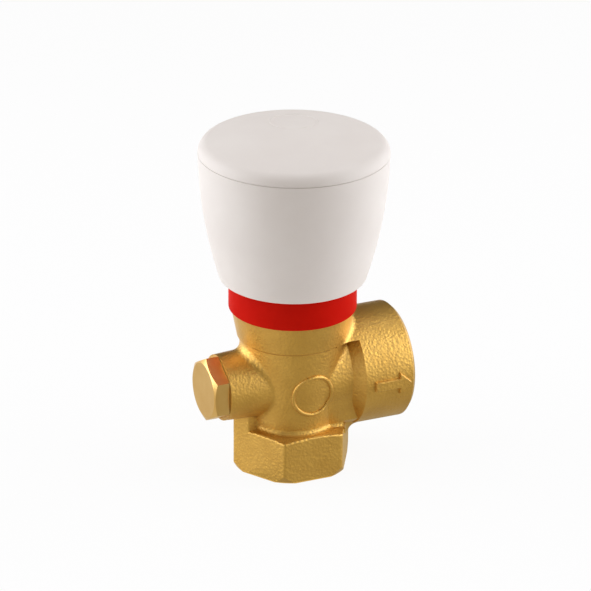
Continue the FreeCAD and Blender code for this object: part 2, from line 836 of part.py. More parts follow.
def make_knob_skirt():
    """The knob: a flared shell with a web, radial ribs and a hub on the spindle's square."""
    inner_rim = knob_rim_radius - size.knob_wall
    inner_top = size.knob_radius - size.knob_wall
    body = new_body("knob_skirt")
    shell = new_sketch(body, "knob_shell_section")
    outline(shell, [
        (inner_rim, knob_rim),
        (knob_rim_radius, knob_rim),
        (size.knob_radius, knob_seam),
        (inner_top, knob_seam),
    ], {1: size.knob_skirt_curve, 3: -size.knob_skirt_curve})
    form = turned(body, "knob_shell", shell)
    doc.recompute()
    rim_edges = [
        name
        for radius in (knob_rim_radius, inner_rim)
        for name in circle_edges(form, radius, knob_rim)
    ]
    rounded(body, "knob_rim_edge", form, rim_edges, size.knob_rim_round)

    web_top = hub_foot + size.knob_web
    web = new_sketch(body, "knob_web_section")
    outline(web, [
        (0.0, hub_foot),
        (inner_top, hub_foot),
        (inner_top, web_top),
        (size.knob_hub_radius, web_top),
        (size.knob_hub_radius, hub_top),
        (0.0, hub_top),
    ])
    turned(body, "knob_web", web)

    rib_foot = size.bonnet_neck_radius + size.knob_rib_clearance
    rib = new_sketch(body, "knob_rib_section")
    outline(rib, [
        (rib_foot, hub_foot - size.knob_rib_height),
        (inner_top, hub_foot - size.knob_rib_height),
        (inner_top, web_top - size.knob_web / 2.0),
        (rib_foot, web_top - size.knob_web / 2.0),
    ])
    first_rib = padded(body, "knob_rib", rib, size.knob_rib_thickness, middle=True)
    doc.recompute()
    ribs = body.newObject("PartDesign::PolarPattern", "knob_ribs")
    ribs.Originals = [first_rib]
    ribs.Axis = (origin_plane(body, "Z_Axis"), [""])
    ribs.Angle = FULL_TURN
    ribs.setExpression("Occurrences", size.knob_rib_count.text)
    body.Tip = ribs
    doc.recompute()

    drive = new_sketch(body, "knob_drive_section", "XY_Plane", out=hub_top)
    square(drive, size.spindle_square + size.press_clearance * 2.0)
    pocket = pocketed(body, "knob_drive", drive, size.knob_hub_height)
    pocket.Type = "ThroughAll"
    return body


def make_knob_cap():
    """The cap: a shallow dome with a rounded edge, a seam step and a spigot that snaps into the skirt."""
    edge = size.cap_edge_radius
    base = knob_seam + size.cap_seam
    top = knob_seam + size.cap_height
    rise = top - base
    edge_centre = size.knob_radius - edge
    crown = (edge_centre * edge_centre + rise * rise - edge * edge) / ((rise - edge) * 2.0)
    crown_centre = top - crown
    lean = (base - crown_centre) / (crown - edge)
    spread = edge_centre / (crown - edge)
    outside = size.knob_radius - size.knob_wall - size.cap_fit
    inside = outside - size.cap_spigot_wall
    ceiling = crown - size.cap_wall
    ceiling_edge = crown_centre + (ceiling * ceiling - inside * inside).root()
    step = size.knob_radius - size.cap_seam_depth
    foot = knob_seam - size.cap_spigot_depth
    return turned_piece("knob_cap", [
        (outside, knob_seam),
        (step, knob_seam),
        (step, base),
        (size.knob_radius, base),
        (crown * spread, crown_centre + crown * lean),
        (0.0, top),
        (0.0, top - size.cap_wall),
        (inside, ceiling_edge),
        (inside, foot),
        (outside, foot),
    ], {3: edge, 4: crown, 6: -ceiling})


def make_screw(label, seat, upward):
    """A socket-head screw whose head sits on seat, with its shank running up or down from there."""
    way = 1.0 if upward else -1.0
    tip = seat + size.screw_length * way
    head = seat - size.screw_head_height * way
    body = turned_piece(label, [
        (0.0, tip),
        (size.screw_radius, tip),
        (size.screw_radius, seat),
        (size.screw_head_radius, seat),
        (size.screw_head_radius, head),
        (0.0, head),
    ])
    socket = new_sketch(body, f"{label}_socket_section", "XY_Plane", out=head)
    hexagon(socket, size.screw_socket_flats)
    pocketed(body, f"{label}_socket", socket, size.screw_socket_depth, reverse=upward)
    return body


def make_washer(label, foot):
    """A flat washer for those screws."""
    top = foot + size.washer_thickness
    return turned_piece(label, [
        (screw_hole, foot),
        (size.washer_radius, foot),
        (size.washer_radius, top),
        (screw_hole, top),
    ])


def make_spindle():
    """The spindle: thread below, smooth shank through the gland, square and tapped hole at the top."""
    thread_top = gland_floor - half_travel - size.stop_clearance
    square_length = size.knob_hub_height - size.spindle_square_drop
    square_top = hub_foot + square_length
    hole_floor = hub_top + size.washer_thickness - size.screw_length - size.screw_hole_spare
    body = turned_piece("spindle", [
        (0.0, spindle_foot),
        (size.spindle_thread_radius - size.spindle_edge, spindle_foot),
        (size.spindle_thread_radius, spindle_foot + size.spindle_edge),
        (size.spindle_thread_radius, thread_top),
        (size.spindle_shank_radius, thread_top),
        (size.spindle_shank_radius, hub_foot),
        (0.0, hub_foot),
    ])
    drive = new_sketch(body, "spindle_square_section", "XY_Plane", out=hub_foot)
    padded(body, "spindle_drive", square(drive, size.spindle_square), square_length)
    hole = new_sketch(body, "spindle_hole_section")
    outline(hole, [
        (0.0, hole_floor),
        (screw_hole, hole_floor),
        (screw_hole, square_top),
        (0.0, square_top),
    ])
    turned(body, "spindle_hole", hole, cut=True)
    return body


def make_setting_stack():
    """The thrust washer under the spindle and the spring plate, whose long bush guides the disc's stem."""
    washer_radius = size.spindle_thread_radius - size.thrust_washer_inset
    washer = turned_piece("thrust_washer", [
        (guide_bore, plate_top),
        (washer_radius, plate_top),
        (washer_radius, spindle_foot),
        (guide_bore, spindle_foot),
    ])
    plate_radius = size.spring_chamber_radius - size.sliding_clearance
    guide_radius = coil_bore - size.guide_clearance
    plate = turned_piece("spring_plate", [
        (guide_bore, plate_bottom - size.guide_length),
        (guide_radius, plate_bottom - size.guide_length),
        (guide_radius, plate_bottom),
        (plate_radius, plate_bottom),
        (plate_radius, plate_top),
        (guide_bore, plate_top),
    ])
    return [washer, plate]


def make_spring():
    """The spring: a closed coil at each end, open coils between, both ends ground flat on their seats."""
    wire = size.spring_wire_radius.value
    mean = size.spring_mean_radius.value
    length = (plate_bottom - holder_top).value
    closed_pitch = 2.0 * wire + size.spring_coil_gap.value
    turns = size.spring_turns.value
    open_pitch = (length - 2.0 * closed_pitch) / turns
    closed = (closed_pitch, closed_pitch)
    path = []
    level = 0.0
    for pitch, height in (closed, (open_pitch, open_pitch * turns), closed):
        helix = Part.makeHelix(pitch, height, mean)
        helix.translate(FreeCAD.Vector(0, 0, level))
        path.extend(helix.Edges)
        level += height
    slope = FreeCAD.Vector(0, 2.0 * math.pi * mean, closed_pitch)
    section = Part.Wire([Part.Circle(FreeCAD.Vector(mean, 0, 0), slope, wire).toShape()])
    sweep = Part.BRepOffsetAPI.MakePipeShell(Part.Wire(path))
    sweep.setFrenetMode(True)
    sweep.add(section)
    sweep.build()
    sweep.makeSolid()
    room = Part.makeCylinder(mean + 2.0 * wire, length)
    spring = doc.addObject("Part::Feature", "spring")
    spring.Label = "spring"
    spring.Shape = sweep.shape().common(room)
    spring.Placement = FreeCAD.Placement(FreeCAD.Vector(0, 0, holder_top.value), FreeCAD.Rotation())
    return spring


def make_disc():
    """The holder with its guide stem and spring seat, and the rubber disc in its recess."""
    holder_radius = size.chamber_radius - size.holder_clearance
    boss_radius = coil_bore - size.holder_boss_clearance
    recess = holder_radius - size.holder_rim
    stem_top = holder_top + size.stem_length
    boss_top = holder_top + size.holder_boss_height
    hole_top = seat_top - size.washer_thickness + size.screw_length + size.screw_hole_spare
    holder = turned_piece("disc_holder", [
        (0.0, hole_top),
        (screw_hole, hole_top),
        (screw_hole, disc_top),
        (recess, disc_top),
        (recess, holder_foot),
        (holder_radius, holder_foot),
        (holder_radius, holder_top),
        (boss_radius, holder_top),
        (boss_radius, boss_top),
        (size.stem_radius, boss_top),
        (size.stem_radius, stem_top),
        (0.0, stem_top),
    ])
    disc_radius = recess - size.press_clearance
    disc = turned_piece("seal_disc", [
        (screw_hole, seat_top),
        (disc_radius, seat_top),
        (disc_radius, disc_top),
        (screw_hole, disc_top),
    ])
    return [holder, disc]


def make_all():
    """Every piece of the valve, in the order of the assembly."""
    return [
        make_valve_body(),
        make_side_plug(),
        make_plug_seal(),
        make_bonnet(),
        make_bonnet_seal(),
        *make_gland(),
        make_scale_collar(),
        make_knob_skirt(),
        make_knob_cap(),
        make_screw("knob_screw", hub_top + size.washer_thickness, upward=False),
        make_washer("screw_washer", hub_top),
        make_spindle(),
        *make_setting_stack(),
        make_spring(),
        *make_disc(),
        make_screw("disc_screw", seat_top - size.washer_thickness, upward=True),
        make_washer("disc_washer", seat_top - size.washer_thickness),
    ]


def check(pieces):
    """Stops if a feature failed or a piece is empty, broken or in more than one solid."""
    for item in doc.Objects:
        if "Invalid" in item.State or "Error" in item.State:
            raise RuntimeError(f"{item.Name} failed: {item.State}")
    for piece in pieces:
        shape = piece.Shape
        if shape.isNull() or not shape.isValid() or len(shape.Solids) != 1:
            raise RuntimeError(f"{piece.Label} has no sound solid")


def write(pieces):
    """Writes each piece to a file of its own name."""
    os.makedirs("parts", exist_ok=True)
    for piece in pieces:
        piece.Shape.exportStep(os.path.join("parts", f"{piece.Label}.step"))


pieces = make_all()
doc.recompute()
check(pieces)
write(pieces)
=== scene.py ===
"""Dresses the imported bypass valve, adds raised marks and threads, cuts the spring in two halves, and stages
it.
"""

import logging
import math
from collections.abc import Callable, Sequence
from dataclasses import dataclass
from enum import Enum

import bmesh
import bpy
from mathutils import Matrix, Quaternion, Vector
from mathutils.geometry import delaunay_2d_cdt

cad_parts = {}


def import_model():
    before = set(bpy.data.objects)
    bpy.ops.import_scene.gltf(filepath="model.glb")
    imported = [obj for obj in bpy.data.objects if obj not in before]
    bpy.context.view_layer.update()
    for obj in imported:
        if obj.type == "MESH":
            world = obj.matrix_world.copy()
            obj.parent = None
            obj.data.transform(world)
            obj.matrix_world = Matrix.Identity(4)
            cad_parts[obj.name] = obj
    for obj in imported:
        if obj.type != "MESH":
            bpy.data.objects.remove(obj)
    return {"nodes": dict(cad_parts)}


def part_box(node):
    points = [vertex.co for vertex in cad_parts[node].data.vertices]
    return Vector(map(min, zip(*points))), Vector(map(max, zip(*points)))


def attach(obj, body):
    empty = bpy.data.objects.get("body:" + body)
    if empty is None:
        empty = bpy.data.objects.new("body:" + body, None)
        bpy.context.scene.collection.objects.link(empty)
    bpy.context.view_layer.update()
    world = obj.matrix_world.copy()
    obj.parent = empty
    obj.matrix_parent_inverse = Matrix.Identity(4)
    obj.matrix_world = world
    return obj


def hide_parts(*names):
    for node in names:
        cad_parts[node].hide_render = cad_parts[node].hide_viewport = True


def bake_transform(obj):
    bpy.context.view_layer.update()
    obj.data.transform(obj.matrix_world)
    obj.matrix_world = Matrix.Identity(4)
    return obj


Tree = bpy.types.NodeTree
Socket = bpy.types.NodeSocket
Material = bpy.types.Material
Piece = bpy.types.Object
Nodes = dict[str, Piece]
Flat = tuple[float, float]
Placer = Callable[[float, float, float], Vector]

LOG = logging.getLogger("bypass_valve")
MM = 0.001
# The height of the axis of the outlet and the side plug.
PORT_HEIGHT_MM = 27.0
# Corners of a CAD mesh's loose triangles that lie this close are one corner.
MERGE_MM = 0.0005
# Edges that bend by more than this stay sharp.
SHARP_ANGLE = math.radians(40.0)
# Half the angle between neighbouring flats of the inlet hexagon.
HEX_HALF_ANGLE = math.radians(30.0)
# Most values of a noise pattern lie between these.
NOISE_LOW, NOISE_HIGH = 0.3, 0.7
# A wave pattern has a ring every so much of its scaled coordinate.
WAVE_PERIOD = 2.0 * math.pi / 20.0
# The numbers of a colour Mix node's two inputs and its output, whose names are not unique.
MIX_FROM, MIX_TO, MIXED = 6, 7, 2
# How finely the threads and the beads are divided: steps of a turn, and sides of the round sections.
THREAD_STEPS, THREAD_SIDES, BEAD_SIDES = 56, 10, 12
# The least cosine of a mitre, which keeps sharp corners of an offset outline short.
LEAST_MITRE = 0.4
# The sides of a raised mark from its sunk foot to its top: shares of the draft outwards and of the rise.
MARK_SIDES = ((1.0, -1.0), (0.5, 0.2), (0.1, 0.8), (-0.4, 1.0))
# The spacing of a raised mark's points along its sides, in rises, and on its top, in side steps.
MARK_SIDE_STEP, MARK_TOP_STEP = 1.5, 1.6
# Keeps the triangles inside an outline, and takes points this close, in metres, as one.
FILL_INSIDE, FILL_JOIN = 1, 1e-9
WHITE = (1.0, 1.0, 1.0, 1.0)


class Body(Enum):
    """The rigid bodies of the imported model."""

    VALVE = "valve"
    ADJUSTER = "adjuster"
    KNOB = "knob"
    OBTURATOR = "obturator"


class Axis(Enum):
    """The axes that pieces were turned or bored about, as a coordinate's name."""

    SPINDLE = "Z"
    PORT = "X"


class Outwards(Enum):
    """Which way along its axis a mouth opens, as the test for what lies further out."""

    ALONG = "GREATER_THAN"
    AGAINST = "LESS_THAN"


def linear(hex_colour: str) -> tuple[float, float, float, float]:
    """Turns an sRGB hex colour to linear light.

    Args:
        hex_colour: The colour as "#RRGGBB".

    Returns:
        Red, green, blue and an alpha of 1.
    """
    shares = [int(hex_colour[start : start + 2], 16) / 255.0 for start in (1, 3, 5)]
    red, green, blue = (
        share / 12.92 if share <= 0.04045 else ((share + 0.055) / 1.055) ** 2.4 for share in shares
    )
    return red, green, blue, 1.0


def bare_tree(owner: Material | bpy.types.World) -> Tree:
    """Gives a material or a world an empty node tree.

    Args:
        owner: The material or world.

    Returns:
        Its tree.
    """
    owner.use_nodes = True
    owner.node_tree.nodes.clear()
    return owner.node_tree


def add_node(
    tree: Tree,
    kind: str,
    settings: dict[str, object] | None = None,
    inputs: dict[str | int, object] | None = None,
) -> bpy.types.Node:
    """Adds a node with its settings, and sets or links its inputs.

    Args:
        tree: The tree that gets the node.
        kind: The node's type name.
        settings: Attributes of the node.
        inputs: Values or output sockets by input name or number.

    Returns:
        The new node.
    """
    node = tree.nodes.new(kind)
    for name, value in (settings or {}).items():
        setattr(node, name, value)
    for key, value in (inputs or {}).items():
        socket = node.inputs[key]
        if isinstance(value, Socket):
            tree.links.new(value, socket)
        else:
            socket.default_value = value
    return node


@dataclass(frozen=True)
class ToolMarks:
    """The fine rings that a lathe tool leaves.

    Attributes:
        axis: The axis that the piece was turned about.
        height_mm: The axis's height for the port axis.
        feed_mm: The distance between rings.
        depth_mm: Their depth.
    """

    axis: Axis
    height_mm: float
    feed_mm: float
    depth_mm: float

    def rings(self, tree: Tree, place: Socket) -> Socket:
        """Adds the pattern of the rings.

        Args:
            tree: The material's tree.
            place: The piece's own coordinates.

        Returns:
            The rings' height from 0 to 1.
        """
        centred = add_node(
            tree,
            "ShaderNodeMapping",
            inputs={"Vector": place, "Location": (0.0, 0.0, -self.height_mm * MM)},
        ).outputs["Vector"]
        scale = WAVE_PERIOD / (self.feed_mm * MM)
        wave = add_node(
            tree,
            "ShaderNodeTexWave",
            {"wave_type": "RINGS", "rings_direction": self.axis.value},
            {"Vector": centred, "Scale": scale, "Distortion": 0.6, "Detail": 1.0},
        )
        return wave.outputs["Fac"]


@dataclass(frozen=True)
class MachinedMouth:
    """A mouth of the forging that was faced and bored after blasting, and so is smooth.

    Attributes:
        axis: The axis that it was bored about.
        outwards: Which way along that axis it opens.
        height_mm: The axis's height for the port axis.
        face_mm: Where its end face starts along the axis.
        floor_mm: Where its bored way starts along the axis.
        bore_mm: A radius just outside the bore.
    """

    axis: Axis
    outwards: Outwards
    height_mm: float
    face_mm: float
    floor_mm: float
    bore_mm: float

    def mask(self, tree: Tree, place: Socket) -> Socket:
        """Adds the mask of the machined faces.

        Args:
            tree: The material's tree.
            place: The piece's own coordinates.

        Returns:
            A value that is 1 on machined faces and 0 elsewhere.
        """
        along = add_node(tree, "ShaderNodeSeparateXYZ", inputs={"Vector": place}).outputs[self.axis.value]
        across = add_node(
            tree,
            "ShaderNodeMapping",
            inputs={
                "Vector": place,
                "Location": (0.0, 0.0, -self.height_mm * MM),
                "Scale": tuple(float(label != self.axis.value) for label in "XYZ"),
            },
        ).outputs["Vector"]
        reach = add_node(tree, "ShaderNodeVectorMath", {"operation": "LENGTH"}, {0: across}).outputs["Value"]
        tests = [
            add_node(tree, "ShaderNodeMath", {"operation": operation}, {0: distance, 1: limit_mm * MM})
            for operation, distance, limit_mm in (
                ("LESS_THAN", reach, self.bore_mm),
                (self.outwards.value, along, self.floor_mm),
                (self.outwards.value, along, self.face_mm),
            )
        ]
        near, way, face = (test.outputs["Value"] for test in tests)
        bored = add_node(tree, "ShaderNodeMath", {"operation": "MULTIPLY"}, {0: near, 1: way})
        mouth = add_node(
            tree, "ShaderNodeMath", {"operation": "MAXIMUM"}, {0: bored.outputs["Value"], 1: face}
        )
        return mouth.outputs["Value"]


@dataclass(frozen=True)
class Finish:
    """A material and how its surface was made, with its patterns in real sizes.

    Attributes:
        name: The material's name.
        colour: Its main colour.
        shade: The colour that its mottle goes to.
        mottle_mm: The size of the mottle.
        grain_mm: The size of the surface's grain.
        relief_mm: The height of that grain.
        roughness: The lowest and highest roughness.
        metallic: 1 for a metal.
        gloss: The strength of a plastic's clear reflections, where 0.5 is usual.
        film: The weight of a thin clear film on a metal, which pales its highlights.
        dimple_mm: The size of blasting dimples, or 0 for none.
        dimple_depth_mm: Their depth.
        marks: Tool marks, if it was turned.
        mouths: The mouths that were machined, if it was forged.
        machined_roughness: The roughness of those mouths.
    """

    name: str
    colour: str
    shade: str
    mottle_mm: float
    grain_mm: float
    relief_mm: float
    roughness: tuple[float, float]
    metallic: float = 0.0
    gloss: float = 0.5
    film: float = 0.0
    dimple_mm: float = 0.0
    dimple_depth_mm: float = 0.0
    marks: ToolMarks | None = None
    mouths: tuple[MachinedMouth, ...] = ()
    machined_roughness: float = 0.0

    def material(self) -> Material:
        """Builds the node material.

        Returns:
            The new material.
        """
        made = bpy.data.materials.new(self.name)
        made.diffuse_color = linear(self.colour)
        tree = bare_tree(made)
        place = add_node(tree, "ShaderNodeTexCoord").outputs["Object"]
        mottle = add_node(
            tree,
            "ShaderNodeTexNoise",
            inputs={"Vector": place, "Scale": 1.0 / (self.mottle_mm * MM), "Detail": 3.0, "Roughness": 0.55},
        )
        spread = add_node(
            tree,
            "ShaderNodeMapRange",
            inputs={"Value": mottle.outputs["Fac"], "From Min": NOISE_LOW, "From Max": NOISE_HIGH},
        )
        colour = add_node(
            tree,
            "ShaderNodeMix",
            {"data_type": "RGBA"},
            {"Factor": spread.outputs["Result"], MIX_FROM: linear(self.colour), MIX_TO: linear(self.shade)},
        )
        grain = add_node(
            tree,
            "ShaderNodeTexNoise",
            inputs={"Vector": place, "Scale": 1.0 / (self.grain_mm * MM), "Detail": 2.0},
        ).outputs["Fac"]
        roughness = add_node(
            tree,
            "ShaderNodeMapRange",
            inputs={
                "Value": grain,
                "From Min": NOISE_LOW,
                "From Max": NOISE_HIGH,
                "To Min": self.roughness[0],
                "To Max": self.roughness[1],
            },
        ).outputs["Result"]
        blasted: Socket | float = 1.0
        for mouth in self.mouths:
            machined = mouth.mask(tree, place)
            roughness = add_node(
                tree,
                "ShaderNodeMix",
                inputs={"Factor": machined, "A": roughness, "B": self.machined_roughness},
            ).outputs["Result"]
            blasted = add_node(
                tree, "ShaderNodeMath", {"operation": "SUBTRACT"}, {0: blasted, 1: machined}
            ).outputs["Value"]
        surface = add_node(
            tree,
            "ShaderNodeBsdfPrincipled",
            inputs={
                "Base Color": colour.outputs[MIXED],
                "Metallic": self.metallic,
                "Roughness": roughness,
                "Specular IOR Level": self.gloss,
                "Coat Weight": self.film,
                "Coat Roughness": self.roughness[0],
                "Normal": self._relief(tree, place, grain, blasted),
            },
        )
        add_node(tree, "ShaderNodeOutputMaterial", inputs={"Surface": surface.outputs["BSDF"]})
        return made

    def _relief(self, tree: Tree, place: Socket, grain: Socket, strength: Socket | float) -> Socket:
        """Adds the fine relief: the grain, and the dimples or tool marks on it.

        Args:
            tree: The material's tree.
            place: The piece's own coordinates.
            grain: The grain's height from 0 to 1.
            strength: How much of the relief is left, from 0 to 1.

        Returns:
            The surface's normal.
        """
        layers = [(grain, self.relief_mm)]
        if self.dimple_mm:
            cells = add_node(
                tree,
                "ShaderNodeTexVoronoi",
                {"feature": "SMOOTH_F1"},
                {"Vector": place, "Scale": 1.0 / (self.dimple_mm * MM), "Smoothness": 0.6},
            )
            layers.append((cells.outputs["Distance"], self.dimple_depth_mm))
        if self.marks:
            layers.append((self.marks.rings(tree, place), self.marks.depth_mm))
        under: dict[str, Socket] = {}
        for height, depth_mm in layers:
            inputs = {"Height": height, "Strength": strength, "Distance": depth_mm * MM, **under}
            under["Normal"] = add_node(tree, "ShaderNodeBump", inputs=inputs).outputs["Normal"]
        return under["Normal"]


# Brass hot-forged and shot-blasted: a satin, speckled gold with a slight mottle. The dimples are drawn
# about twice as coarse as real shot leaves them, so that they show in the render.
FORGED_BRASS = Finish(
    name="forged_brass_blasted",
    colour="#DBAD4C",
    shade="#D0A141",
    mottle_mm=6.0,
    grain_mm=0.5,
    relief_mm=0.06,
    roughness=(0.44, 0.58),
    metallic=1.0,
    film=0.9,
    dimple_mm=0.8,
    dimple_depth_mm=0.12,
    mouths=(
        MachinedMouth(Axis.PORT, Outwards.ALONG, PORT_HEIGHT_MM, face_mm=31.8, floor_mm=11.0, bore_mm=13.6),
        MachinedMouth(Axis.SPINDLE, Outwards.AGAINST, 0.0, face_mm=0.3, floor_mm=13.0, bore_mm=13.6),
    ),
    machined_roughness=0.27,
)
# Brass turned bright from hexagon bar: smooth flats, with fine rings on what the tool faced.
PLUG_BRASS = Finish(
    name="turned_brass_plug",
    colour="#E3BC78",
    shade="#D8AC62",
    mottle_mm=9.0,
    grain_mm=0.35,
    relief_mm=0.004,
    roughness=(0.28, 0.36),
    metallic=1.0,
    marks=ToolMarks(Axis.PORT, PORT_HEIGHT_MM, feed_mm=0.4, depth_mm=0.004),
)
# The same brass on the pieces that were turned about the spindle.
SPINDLE_BRASS = Finish(
    name="turned_brass_spindle",
    colour="#E0B76E",
    shade="#D2A65A",
    mottle_mm=9.0,
    grain_mm=0.35,
    relief_mm=0.004,
    roughness=(0.18, 0.28),
    metallic=1.0,
    marks=ToolMarks(Axis.SPINDLE, 0.0, feed_mm=0.4, depth_mm=0.004),
)
# ABS moulded in a finely blasted tool: a warm off-white with a satin surface and the faintest orange peel.
WHITE_ABS = Finish(
    name="abs_moulded_warm_white",
    colour="#F0EAE3",
    shade="#ECE5DE",
    mottle_mm=18.0,
    grain_mm=1.6,
    relief_mm=0.003,
    roughness=(0.54, 0.6),
    gloss=0.25,
)
# Acetal moulded in red: a deep even colour with a dull surface.
RED_ACETAL = Finish(
    name="acetal_moulded_red",
    colour="#D4180A",
    shade="#CB1408",
    mottle_mm=10.0,
    grain_mm=0.8,
    relief_mm=0.004,
    roughness=(0.45, 0.55),
    gloss=0.02,
)
# EPDM rubber moulded matt: near black, with a dusty bloom.
SEAL_RUBBER = Finish(
    name="epdm_rubber_matt",
    colour="#1C1C1D",
    shade="#272727",
    mottle_mm=4.0,
    grain_mm=0.25,
    relief_mm=0.01,
    roughness=(0.55, 0.7),
)
# Stainless wire drawn and coiled: a grey metal, slightly uneven in its shine.
SPRING_WIRE = Finish(
    name="stainless_wire_drawn",
    colour="#BDBDBF",
    shade="#A9A9AC",
    mottle_mm=2.0,
    grain_mm=0.2,
    relief_mm=0.004,
    roughness=(0.22, 0.34),
    metallic=1.0,
)
# Steel with bright zinc plating: a pale, slightly cloudy metal.
ZINC_STEEL = Finish(
    name="zinc_plated_steel",
    colour="#CBCBCB",
    shade="#B6B8BC",
    mottle_mm=3.0,
    grain_mm=0.3,
    relief_mm=0.004,
    roughness=(0.24, 0.36),
    metallic=1.0,
)
# PTFE skived and turned: a waxy, matt white.
PTFE = Finish(
    name="ptfe_turned",
    colour="#EDEDEA",
    shade="#E6E6E2",
    mottle_mm=6.0,
    grain_mm=0.4,
    relief_mm=0.004,
    roughness=(0.45, 0.55),
)


def clothe(nodes: Nodes, names: Sequence[str], material: Material) -> None:
    """Gives CAD nodes a material.

    Args:
        nodes: The CAD nodes by name.
        names: The nodes to dress.
        material: Their material.
    """
    for name in names:
        slots = nodes[name].data.materials
        slots.clear()
        slots.append(material)
        LOG.info("%s dressed in %s", name, material.name)


def new_piece(
    name: str,
    points: Sequence[Vector] = (),
    faces: Sequence[Sequence[int]] = (),
    edges: Sequence[tuple[int, int]] = (),
) -> Piece:
    """Makes a mesh object at the origin.

    Args:
        name: The piece's name.
        points: Its vertices.
        faces: Its faces as vertex numbers, counter-clockwise from outside.
        edges: Loose edges, for a path.

    Returns:
        The linked object.
    """
    mesh = bpy.data.meshes.new(name)
    mesh.from_pydata([tuple(point) for point in points], list(edges), list(faces))
    mesh.validate()
    piece = bpy.data.objects.new(name, mesh)
    bpy.context.scene.collection.objects.link(piece)
    return piece


def new_sheet(name: str, width: float, tall: float) -> Piece:
    """Makes a level rectangle about the origin that faces up.

    Args:
        name: The piece's name.
        width: Its size along X.
        tall: Its size along Y.

    Returns:
        The piece.
    """
    signs = ((-1, -1), (1, -1), (1, 1), (-1, 1))
    corners = [Vector((right * width / 2.0, up * tall / 2.0, 0.0)) for right, up in signs]
    return new_piece(name, corners, [(0, 1, 2, 3)])


def smooth(piece: Piece) -> None:
    """Shades a finished piece smooth up to its sharp edges, and reports it.

    Args:
        piece: The piece.
    """
    piece.data.shade_smooth()
    piece.data.set_sharp_from_angle(angle=SHARP_ANGLE)
    LOG.info("%s made with %d faces", piece.name, len(piece.data.polygons))


def hand_over(piece: Piece, body: Body) -> None:
    """Smooths a finished piece and lets it ride on its body.

    Args:
        piece: The piece, in place.
        body: The body that carries it.
    """
    smooth(piece)
    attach(piece, body.value)


def half_of(node: Piece, name: str, level: float, above: bool) -> Piece:
    """Copies the part of a CAD node on one side of a level plane, closed where it is cut.

    Args:
        node: The CAD node, which stays as it is.
        name: The new piece's name.
        level: The plane's height.
        above: Whether the part above the plane is kept.

    Returns:
        The new piece.
    """
    shell = bmesh.new()
    shell.from_mesh(node.data)
    bmesh.ops.remove_doubles(shell, verts=shell.verts, dist=MERGE_MM * MM)
    cut = bmesh.ops.bisect_plane(
        shell,
        geom=[*shell.verts, *shell.edges, *shell.faces],
        plane_co=(0.0, 0.0, level),
        plane_no=(0.0, 0.0, 1.0),
        clear_inner=above,
        clear_outer=not above,
    )
    rim = [item for item in cut["geom_cut"] if isinstance(item, bmesh.types.BMEdge)]
    bmesh.ops.triangle_fill(shell, edges=rim, use_beauty=True)
    bmesh.ops.recalc_face_normals(shell, faces=shell.faces)
    piece = new_piece(name)
    shell.to_mesh(piece.data)
    shell.free()
    return piece


def grow(piece: Piece, tree: Tree, values: dict[str, object]) -> None:
    """Runs a Geometry Nodes tree on a piece and keeps the result as its plain mesh.

    Args:
        piece: The piece that carries the path.
        tree: The tree.
        values: The tree's inputs by name.
    """
    modifier = piece.modifiers.new(tree.name, "NODES")
    modifier.node_group = tree
    for item in tree.interface.items_tree:
        if item.item_type == "SOCKET" and item.in_out == "INPUT" and item.name in values:
            modifier[item.identifier] = values[item.name]
    graph = bpy.context.evaluated_depsgraph_get()
    made = bpy.data.meshes.new_from_object(piece.evaluated_get(graph))
    piece.modifiers.clear()
    piece.data = made
    made.name = piece.name


def new_tree(name: str, inputs: dict[str, str]) -> tuple[Tree, bpy.types.Node]:
    """Starts a Geometry Nodes tree.

    Args:
        name: The tree's name.
        inputs: Socket types by input name, after the geometry.

    Returns:
        The tree and its group input node.
    """
    tree = bpy.data.node_groups.new(name, "GeometryNodeTree")
    for label, kind in {"Geometry": "Geometry", **inputs, "Material": "Material"}.items():
        tree.interface.new_socket(label, in_out="INPUT", socket_type=f"NodeSocket{kind}")
    tree.interface.new_socket("Geometry", in_out="OUTPUT", socket_type="NodeSocketGeometry")
    return tree, add_node(tree, "NodeGroupInput")


def run_round(tree: Tree, path: Socket, radius: Socket, sides: Socket | int) -> Socket:
    """Adds the nodes that run a round section along a path.

    Args:
        tree: The tree.
        path: The path.
        radius: The section's radius.
        sides: The number of the section's sides.

    Returns:
        The mesh.
    """
    section = add_node(
        tree, "GeometryNodeCurvePrimitiveCircle", inputs={"Resolution": sides, "Radius": radius}
    ).outputs["Curve"]
    return add_node(
        tree, "GeometryNodeCurveToMesh", inputs={"Curve": path, "Profile Curve": section, "Fill Caps": True}
    ).outputs["Mesh"]


def finish_tree(tree: Tree, mesh: Socket, material: Socket) -> None:
    """Ends a Geometry Nodes tree with real geometry and its material.

    Args:
        tree: The tree.
        mesh: The socket with the shape.
        material: The socket with the material.
    """
    real = add_node(tree, "GeometryNodeRealizeInstances", inputs={"Geometry": mesh}).outputs["Geometry"]
    dressed = add_node(tree, "GeometryNodeSetMaterial", inputs={"Geometry": real, "Material": material})
    add_node(tree, "NodeGroupOutput", inputs={"Geometry": dressed.outputs["Geometry"]})


def bead_tree() -> Tree:
    """A tree that runs a round bead along the piece's own edges.

    Returns:
        The tree, with the inputs Bead Radius, Bead Sides and Material.
    """
    tree, group = new_tree("bead_on_path", {"Bead Radius": "Float", "Bead Sides": "Int"})
    given = group.outputs
    path = add_node(tree, "GeometryNodeMeshToCurve", inputs={"Mesh": given["Geometry"]}).outputs["Curve"]
    finish_tree(tree, run_round(tree, path, given["Bead Radius"], given["Bead Sides"]), given["Material"])
    return tree


